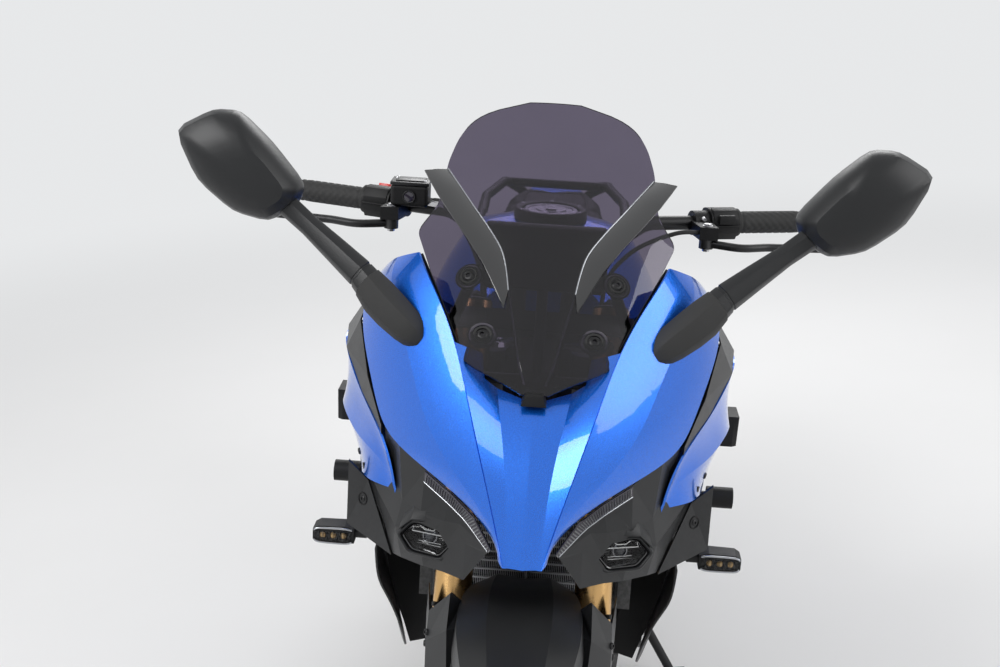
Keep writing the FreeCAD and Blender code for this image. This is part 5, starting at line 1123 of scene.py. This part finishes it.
SEAM_LINE = (  # beside the upper cowl, beside the side cowl, reach past it, from the front tip up
    ((180, 36, 786), (188, 36, 762), 10), ((197, 48, 826), (201, 50, 796), 10),
    ((206, 56, 848), (206, 62, 833), 8), ((232, 98, 902), (244, 128, 871), 2),
    ((252, 153, 967), (266, 178, 938), 0))


def add_cowl_details():
    ring, screw, backs, shroud = (Shape() for _ in range(4))
    for side in (1, -1):
        at, out = touch("side_winglets", (side * 233, -60, 722), (0, 1, 0))
        ring.spin([(-0.4, 9.5), (1.1, 9.2), (1.3, 7.6), (-0.2, 7.2)], at, out, 32)
        bolt(screw, at, out, 4.6, 1.8)
    backs.rings(WINGLET_BACKS)
    rows = []
    for outer, inner in SHROUD:
        line = [Vector(outer), Vector(outer).lerp(Vector(inner), 0.5) + Vector((0, 5, 0)), Vector(inner)]
        rows.append(line + [p + Vector((0, 4, 0)) for p in line[::-1]])
    shroud.rings(rows)
    ring.make("winglet_rings", DARK_PLASTIC)
    screw.make("winglet_screws", BLACK_METAL)
    backs.both().make("winglet_backs", DARK_PLASTIC, smooth=30)
    shroud.both().make("radiator_shrouds", DARK_PLASTIC, smooth=30)
    bolts_on("cowl_screws", "lower_cowls", ((300, 640), (420, 600), (470, 540), (360, 470)), 5.5, 3)
    bolts_on("flank_screws", "side_cowls", ((420, 690), (150, 770)), 5.0, 2.4)


FINS, FIN_PITCH = 94, 3.0
CORE_TUBES, TUBE_PITCH = 15, 15.6
GUARD_Y = 316
GUARD_HALF = 146
GUARD_BARS, BAR_PITCH = 5, 54
COOLANT_HOSES = (
    ((154, 352, 690), (176, 392, 668), (172, 430, 622), (158, 470, 600)),
    ((-154, 352, 492), (-178, 392, 470), (-182, 440, 440), (-164, 486, 430)))


def add_radiator():
    """Fins and tubes of the core, and a guard in front of it."""
    core, guard = Shape(), Shape()
    for i in range(FINS):
        core.block((FIN_PITCH * i - 139.5, 321.6, 593), (0.35, 2.6, 118))
    for i in range(CORE_TUBES):
        core.block((0, 321.2, 484 + TUBE_PITCH * i), (140, 1.7, 1.1))
    for z in (486 + BAR_PITCH * i for i in range(GUARD_BARS)):
        guard.tube([(-GUARD_HALF, GUARD_Y, z), (GUARD_HALF, GUARD_Y, z)], 2.0, sides=6, steps=1)
    for x in (-GUARD_HALF, 0, GUARD_HALF):
        guard.tube([(x, GUARD_Y, 474), (x, GUARD_Y, 712)], 2.6, sides=6, steps=1)
    core.make("radiator_fins", ALLOY, smooth=20)
    guard.make("radiator_guard", BLACK_METAL)


def add_liners():
    """Dark sheets behind the nose's sides and along the seam under the upper cowl."""
    liner, strip = Shape(), Shape()
    inwards = Vector((-0.55, 0.75, -0.36)).normalized()
    rows = []
    for ridge, edge in NOSE:
        ridge, edge = Vector(ridge) + inwards * 7, Vector(edge) + inwards * 7
        edge = edge.lerp(ridge, 0.12)
        line = [ridge, ridge.lerp(edge, 0.45) + inwards * 2, edge]
        rows.append(line + [p + inwards * LINER_WALL for p in line[::-1]])
    liner.rings(rows)
    inwards = Vector((-0.7, 0.7, -0.15)).normalized()
    rows = []
    for upper, lower, reach in SEAM_LINE:
        upper, lower = Vector(upper) + inwards * 8, Vector(lower) + inwards * 9
        along = (upper - lower).normalized()
        line = [upper + along * 11, lower - along * reach]
        rows.append(line + [p + inwards * LINER_WALL for p in line[::-1]])
    strip.rings(rows)
    liner.both().make("nose_liners", DARK_PLASTIC)
    strip.both().make("seam_liners", DARK_PLASTIC)


def add_coolant_hoses():
    hose, clips = Shape(), Shape()
    for path in COOLANT_HOSES:
        hose.tube(path, 15, sides=18, steps=8)
        line = smooth_line(path, 8)
        for i in (3, len(line) - 4):
            clips.spin([(-5, 15.4), (-4.6, 16.6), (4.6, 16.6), (5, 15.4)], line[i], line[i + 1] - line[i - 1])
    hose.make("coolant_hoses", RUBBER, smooth=60)
    clips.make("hose_clips", STEEL, smooth=30)


def add_frame_details():
    bolts_on("frame_bolts", "frame", ((560, 706), (640, 640), (780, 520), (846, 452)), 7.5, 6, STEEL,
             hex_head=True)
    caps = Shape()
    at, out = touch("frame", (BESIDE, 868, 400), -LEFT)
    caps.spin([(0, 24), (3, 23.4), (4.4, 19), (3.2, 14), (3.2, 2)], at, out, 36)
    caps.both().make("pivot_caps", BLACK_METAL)


add_cowl_details()
add_radiator()
add_liners()
add_coolant_hoses()
add_frame_details()


# Tank: cap with a grip bar, a key cover and screws

CAP_AT = Vector((0, 606, 1039))


def add_cap():
    ring, lid, screws = Shape(), Shape(), Shape()
    ring.spin([(-6, 62), (9, 62), (12, 59), (12, 52), (9.5, 48.4), (2, 48)], CAP_AT, UP, 64)
    lid.spin([(0, 45.8), (8.5, 45.8), (10, 44), (10, 38), (8.4, 37), (8.4, 26), (10.4, 25), (10.8, 1)],
             CAP_AT, UP, 56)
    lid.block(CAP_AT + UP * 11.6, (9, 17, 1.6))
    lid.spin([(10, 6), (13.6, 5.6), (14, 3.4), (13, 3)], CAP_AT + Vector((0, -1, 0)), UP, 20)
    for angle in (math.radians(30 + 60 * i) for i in range(6)):
        bolt(screws, CAP_AT + Vector((55.5 * math.cos(angle), 55.5 * math.sin(angle), 11.6)), UP, 3.6, 2)
    ring.make("cap_ring", BLACK_METAL)
    lid.make("cap_lid", ALLOY, replaces=("filler_cap",))
    screws.make("cap_screws", STEEL)


add_cap()


# Front end: axle nut, pinch and caliper bolts, disc buttons, hoses, fork seals and caps

FORK_X = 102.5
RAKE = math.radians(25.0)
FORK_AXIS = Vector((0, math.sin(RAKE), math.cos(RAKE)))
FORK_AHEAD = Vector((0, -math.cos(RAKE), math.sin(RAKE)))
CALIPER_FACE = (  # x, outline in y and z
    (97.4, ((106, 392), (140, 370), (158, 386), (142, 424), (114, 436), (102, 424))),
    (101.5, ((112, 396), (139, 379), (150, 389), (137, 416), (116, 427), (108, 418))))


def on_fork(side, up, ahead=0.0, out=0.0):
    """A point beside a fork leg: distance up from the axle, ahead of the leg and outwards."""
    return FRONT_AXLE + LEFT * side * (FORK_X + out) + FORK_AXIS * up + FORK_AHEAD * ahead


def add_front_end():
    steel, black, hose, hub = (Shape() for _ in range(4))
    for side in (1, -1):
        out = LEFT * side
        axle = FRONT_AXLE + out * 126.5
        steel.spin([(-1, 15), (1.5, 15), (2.2, 13.8)], axle, out, 30)
        steel.spin([(2, 12.2), (7.5, 12.2), (8.4, 11)], axle, out, 6)
        steel.spin([(0, 5), (9.4, 5), (10, 4)], axle, out, 16)
        for y in (-13, 13):
            bolt(steel, (side * FORK_X, y, 261), -UP, 4.2, 4)
        top = Vector((side * 92, 150, 440))
        hose.tube([top + Vector((0, -2, -8)), top + Vector((side * 2, 8, 22)),
                   top + Vector((side * 3, 34, 70)), on_fork(side, 330, -36)], 4.4, sides=10, steps=8)
        steel.spin([(0, 7), (10, 7), (11, 5)], top - UP * 12, (0, 0.3, 1), 6)
    for y, z in ((78, 400), (84, 372)):
        bolt(black, (122, y, z), LEFT, 6.5, 5, hex_head=True)
    for y, z in ((118, 432), (148, 378), (112, 392), (152, 410)):
        bolt(black, (97.5, y, z), LEFT, 4.4, 4)
    black.rings([[(x, y, z) for y, z in outline] for x, outline in CALIPER_FACE])
    bolt_circle(black, (68.6, 0, 300), 52, 10, LEFT, 4.2, 3.2)
    hub.spin([(-1.5, 34), (2.0, 33), (3.2, 26), (3.2, 19)], (70, 0, 300), LEFT, 40)
    bolt_circle(hub, (68.8, 0, 300), 44, 5, LEFT, 5.0, 3.4, start=0.6)
    steel.make("front_bolts", STEEL, "steering")
    black.both().make("caliper_bolts", BLACK_METAL, "steering")
    hose.make("leg_hoses", RUBBER, "steering", smooth=60)
    hub.both().tube([(0, 176, 300), (0, 150, 300)], 3.6, sides=10, steps=3)
    hub.make("front_hub_parts", BLACK_METAL, "front_wheel")


def add_fork_parts():
    wiper, top = Shape(), Shape()
    for side in (1, -1):
        foot, crown = on_fork(side, 262), on_fork(side, 728)
        wiper.spin([(-4, 24), (-3, 30.5), (5, 30.5), (8, 28.4), (8.4, 27.8)], foot, FORK_AXIS, 40)
        wiper.spin([(14, 27.9), (15, 29), (20, 29), (21, 27.9)], foot, FORK_AXIS, 40)
        top.spin([(-2, 26), (3, 26), (5, 23), (5, 14), (11, 13), (12, 11)], crown, FORK_AXIS, 36)
        top.spin([(11, 8), (16, 8), (17, 6.6)], crown, FORK_AXIS, 6)
        for up in (700, 540):
            bolt(top, on_fork(side, up, out=36), LEFT * side, 4.5, 4)
    wiper.make("fork_wipers", RUBBER, "steering")
    top.make("fork_caps", BLACK_METAL, "steering")
    bolts_on("fender_bolts", "front_fender", ((20, 560), (60, 520)), 5.0, 3, body="steering")


add_front_end()
add_fork_parts()


# Engine: cover rings and bolts, cylinder fins, oil filler, sight glass, exhaust clamps, silencer

RIGHT_COVER = Vector((-213.3, 690, 376))
CLUTCH_COVER = Vector((-191.3, 520, 372))
LEFT_COVER = Vector((219.3, 520, 372))
SPROCKET_COVER_SCREWS = ((640, 345), (700, 314), (768, 334), (784, 462), (702, 486), (644, 448))
HEAD_FINS, HEAD_FIN_PITCH = 7, 15
EXHAUST_PORTS = (-112, -38, 38, 112)
SILENCER = ((-1, -0.5), (-0.5, -1), (0.6, -1), (1, -0.4), (1, 0.5), (0.4, 1), (-0.7, 1), (-1, 0.6))
STRAPS = ((1196, -224.7, 315, 51.8, 61.6), (1404, -226.6, 377.6, 51, 63))  # y, x, z, half sizes
STRAP_EDGE = ((-11, -3, 0.2), (-10, -3, 2), (10, 3, 2), (11, 3, 0.2))  # along, up, grow
END_CAP = (  # y, z, half sizes, grow
    (1440, 388, 50, 62, 0.6), (1446, 389.6, 50, 62, 0.2), (1456, 393, 45, 56, 0.4),
    (1468, 396.4, 37, 45, 0.8), (1468, 396.4, 30, 36, 0), (1462, 395, 28, 33, 0))


def add_engine_details():
    bolts, covers, pipes, marks = (Shape() for _ in range(4))
    bolt_circle(bolts, RIGHT_COVER + LEFT * 14, 79, 10, -LEFT, 4.0, 3.6, hex_head=True)
    bolt_circle(bolts, CLUTCH_COVER, 44, 6, -LEFT, 3.6, 3.6, hex_head=True)
    bolt_circle(bolts, LEFT_COVER - LEFT * 14, 67, 9, LEFT, 4.0, 3.6, hex_head=True)
    for y, z in SPROCKET_COVER_SCREWS:
        bolt(bolts, (195.3, y, z), LEFT, 4.2, 4)
    covers.spin([(0, 58), (3, 57), (4.5, 52), (3.2, 46), (3.2, 22), (5.5, 18), (6, 2)],
                RIGHT_COVER, -LEFT, 56)
    covers.spin([(0, 42), (3, 41), (4.2, 36), (2.8, 32), (2.8, 14), (4.6, 12), (5, 2)],
                CLUTCH_COVER, -LEFT, 44)
    covers.spin([(0, 46), (3, 45), (4.5, 40), (3, 35), (3, 16), (5.5, 13), (6, 2)],
                LEFT_COVER, LEFT, 48)
    for side in (1, -1):
        for rise in (HEAD_FIN_PITCH * i for i in range(HEAD_FINS)):
            covers.block((side * 155.5, 531 - rise * 0.28, 512 + rise), (3.2, 62, 2.2))
    marks.spin([(0, 15), (2.4, 14.4), (2.8, 11), (1.4, 10.4)], (-165.6, 610, 300), -LEFT, 30)
    marks.spin([(0, 17), (12, 16), (14, 12), (14, 2)], (-165, 610, 470), (-1, 0, 0.2), 24)
    for x in EXHAUST_PORTS:
        pipes.spin([(-3, 27), (3, 27), (4, 22)], (x, 399, 606), (0, -0.7, -0.7), 30)
        for dx in (-22, 22):
            bolt(pipes, (x + dx, 401, 622), (0, -1, -0.3), 4, 6, hex_head=True)
    pipes.spin([(-9, 25.6), (-8, 27.4), (8, 27.4), (9, 25.6)], (-206, 1036, 260), (-0.38, 0.9, 0.36), 36)
    bolts.make("engine_bolts", STEEL)
    covers.make("engine_cover_rings", BLACK_METAL)
    marks.make("engine_oil_fittings", DARK_PLASTIC)
    pipes.make("exhaust_clamps", STEEL)


def silencer_ring(y, x, z, half_x, half_z, grow):
    return soft_ring([Vector((x + a * (half_x + grow), y, z + b * (half_z + grow)))
                      for a, b in SILENCER], 0.2)


def add_silencer():
    strap, cap = Shape(), Shape()
    for y, x, z, half_x, half_z in STRAPS:
        strap.rings([silencer_ring(y + along, x, z + up, half_x, half_z, grow)
                     for along, up, grow in STRAP_EDGE])
    cap.rings([silencer_ring(y, -226, *rest) for y, *rest in END_CAP])
    cap.make("silencer_cap", BLACK_METAL, bevel=0.8, smooth=30)
    strap.make("silencer_straps", STEEL, smooth=30)


add_engine_details()
add_silencer()


# Rear end: chain adjusters, sprocket and disc bolts, brake hose

def add_rear_end():
    fixed, turning, hose = Shape(), Shape(), Shape()
    for side in (1, -1):
        out = LEFT * side
        fixed.spin([(12, 18.4), (13.2, 18.4), (13.4, 14), (20, 13), (21, 11)],
                   REAR_AXLE + out * 153.3, out, 6)
        fixed.tube([(side * 140, 1490, 306), (side * 140, 1530, 302)], 4.0, sides=10, steps=2)
        fixed.spin([(0, 8), (6, 8), (7, 7)], (side * 140, 1520, 303), (0, 1, -0.1), 6)
    bolt_circle(turning, REAR_AXLE + LEFT * 114, 52, 6, LEFT, 6, 6, hex_head=True)
    bolt_circle(turning, REAR_AXLE - LEFT * 108.6, 40, 5, -LEFT, 4.6, 3.6, start=0.5)
    hose.tube([(-112, 1372, 404), (-118, 1340, 424), (-124, 1280, 412), (-128, 1180, 388),
               (-130, 1080, 384)], 4.2, sides=10, steps=8)
    fixed.make("chain_adjusters", STEEL, smooth=30)
    turning.make("rear_hub_bolts", STEEL, "rear_wheel")
    hose.make("rear_brake_hose", RUBBER, smooth=60)


add_rear_end()


# Panels that close the sides between the flank, the frame and the tank

INFILLS = (  # rows of points, and the way to the hidden side
    ((((252, 438, 884), (264, 438, 812), (250, 438, 730)),
      ((222, 490, 892), (230, 490, 832), (228, 490, 772)),
      ((196, 545, 884), (204, 545, 846), (212, 545, 806))), (-3, -1, 0)),
    ((((280, 334, 912), (180, 344, 906), (166, 350, 860)),
      ((266, 400, 896), (176, 404, 902), (166, 400, 852)),
      ((250, 448, 882), (170, 462, 898), (158, 462, 852))), (0, 0, -3)))


def add_infills():
    panel = Shape()
    for rows, hidden in INFILLS:
        panel.rings([[Vector(p) for p in line] + [Vector(p) + Vector(hidden) for p in line[::-1]]
                     for line in rows])
    panel.both().make("side_infills", BLACK_PLASTIC, bevel=0.8, smooth=30)


add_infills()


# Seats: covers blown up over their foam by cloth simulation, with sewn seams

RIDER_SEAT = (  # y, half width of the base, height of the base and of the top
    (888, 88, 768, 832), (950, 108, 757, 815), (1050, 136, 751, 808), (1130, 142, 757, 822),
    (1168, 130, 790, 872))
PILLION_SEAT = (  # the same columns
    (1168.3, 112, 790, 884), (1250, 122, 818, 906), (1380, 110, 836, 920), (1480, 80, 854, 924))
FOAM_SHRINK = 5.0
FOAM_ROWS = 16
PUFF_CAP = 0.006
PUFF_FRAMES = 20
PUFF_PRESSURE = 4.0
VOXEL = 0.0055
OVER_SEATS = 1100
SEAM_INSET = 16
SEAM_STEPS = 24
SEAM_SHARE = 0.62
WELT_SHARE = 0.61
STITCH_ASIDE = (-4.2, 4.2)


def seat_ring(y, half, low, top):
    """One cross section of a seat, wider at its shoulder than at its base, as the solid has it."""
    wide = half + 6
    outline = [(-half, low), (half, low), (wide, top - 22), (wide - 5, top - 9), (wide - 20, top - 2),
               (half * 0.45, top - 0.5), (0, top - 2), (-half * 0.45, top - 0.5), (-wide + 20, top - 2),
               (-wide + 5, top - 9), (-wide, top - 22)]
    return [Vector((x, y, z)) for x, z in outline]


def foam_rings(table):
    """The seat a little smaller, so that it fills its place once blown up, with lower ends."""
    rows = []
    shrink = FOAM_SHRINK
    first, last = table[0][0], table[-1][0]
    for y in (first + (last - first) * i / FOAM_ROWS for i in range(FOAM_ROWS + 1)):
        half, low, top = spread(table, y)
        end = min(1.0, 0.25 + min(y - first, last - y) / 22)
        ring = []
        for p in seat_ring(y, half, low, top):
            rise = shrink * 0.8 if p.z < low + 1 else -shrink * 0.8 - (1 - end) * 14
            ring.append(Vector((p.x * (1 - shrink / half), p.y, p.z + rise)))
        rows.append(ring)
    rows[0] = [p + Vector((0, shrink, 0)) for p in rows[0]]
    rows[-1] = [p - Vector((0, shrink, 0)) for p in rows[-1]]
    return rows


def puff(thing):
    """Blows a pad up with cloth simulation, no point moving further than the cap."""
    skin = thing.modifiers.new("skin", "REMESH")
    skin.mode = "VOXEL"
    skin.voxel_size = VOXEL
    settle(thing)
    rest = [v.co.copy() for v in thing.data.vertices]
    cloth = thing.modifiers.new("cover", "CLOTH")
    cloth.settings.use_pressure = True
    cloth.settings.uniform_pressure_force = PUFF_PRESSURE
    cloth.settings.effector_weights.gravity = 0.0
    cloth.settings.quality = 4
    cloth.point_cache.frame_start = 1
    cloth.point_cache.frame_end = PUFF_FRAMES
    for step in range(1, PUFF_FRAMES + 1):
        scene.frame_set(step)
    moved = [v.co.copy() for v in evaluated(thing).data.vertices]
    thing.modifiers.clear()
    scene.frame_set(1)
    for v, was, now in zip(thing.data.vertices, rest, moved):
        step = now - was
        v.co = was + step * min(1.0, PUFF_CAP / max(step.length, 1e-9))


def add_seat(name, node, table, welts):
    """A pad with two seams along it, stitches beside them, and a seam across at each welt."""
    pad = Shape().rings(foam_rings(table)).make(name, SEAT_COVER, smooth=60, replaces=(node,))
    puff(pad)
    soft = pad.modifiers.new("soft", "SUBSURF")
    soft.levels = soft.render_levels = 1
    settle(pad)
    paint(pad, SEAT_COVER)
    pad.data.shade_smooth()
    tree = surface(pad.data)
    seam, threads = Shape(), Shape()

    def on_top(places, lift):
        hits = [tree.ray_cast(Vector((x, y, OVER_SEATS)), -UP)[0] for x, y in places]
        return [hit + UP * lift for hit in hits if hit]

    first, last = table[0][0] + SEAM_INSET, table[-1][0] - SEAM_INSET
    along = [first + (last - first) * i / SEAM_STEPS for i in range(SEAM_STEPS + 1)]
    for share in (-SEAM_SHARE, SEAM_SHARE):
        line = on_top([(share * spread(table, y)[0], y) for y in along], 0.3)
        seam.tube(line, 1.7, sides=8, steps=2)
        dense = smooth_line(line, 5)
        for a, b in zip(dense[::2], dense[1::2]):
            for beside in (Vector((x, 0, 0.6)) for x in STITCH_ASIDE):
                threads.tube([a + beside, b + beside], 0.45, sides=5, steps=1)
    for y in welts:
        half = spread(table, y)[0]
        line = on_top([((-1 + i / 10) * half * WELT_SHARE, y) for i in range(21)], 0.2)
        seam.tube(line, 1.5, sides=8, steps=2)
    seam.make(name + "_seams", SEAT_COVER, smooth=60)
    threads.make(name + "_stitches", STITCH, smooth=60)


add_seat("rider_pad", "rider_seat", RIDER_SEAT, (930, 1120))
add_seat("passenger_pad", "passenger_seat", PILLION_SEAT, (1230, 1420))


# Tail: lamp segments under the red lens, screws, and the plate's lamp

def add_tail():
    inner, lamp = Shape(), Shape()
    for x in range(-32, 33, 8):
        inner.block((x, 1699, 874), (3.0, 2.4, 3.4))
    lamp.rings([[(x, y, z) for y, z in ((1762, 664), (1786, 672), (1792, 682), (1764, 688))]
                for x in (-22, 22)])
    inner.make("tail_lamp_segments", RED_GLOW, bevel=0.6, smooth=30)
    lamp.make("plate_lamp", DARK_PLASTIC, bevel=1.5, smooth=30)
    bolts_on("tail_screws", "tail_cowl", ((1250, 805), (1500, 850)), 5.0, 2.4)


add_tail()
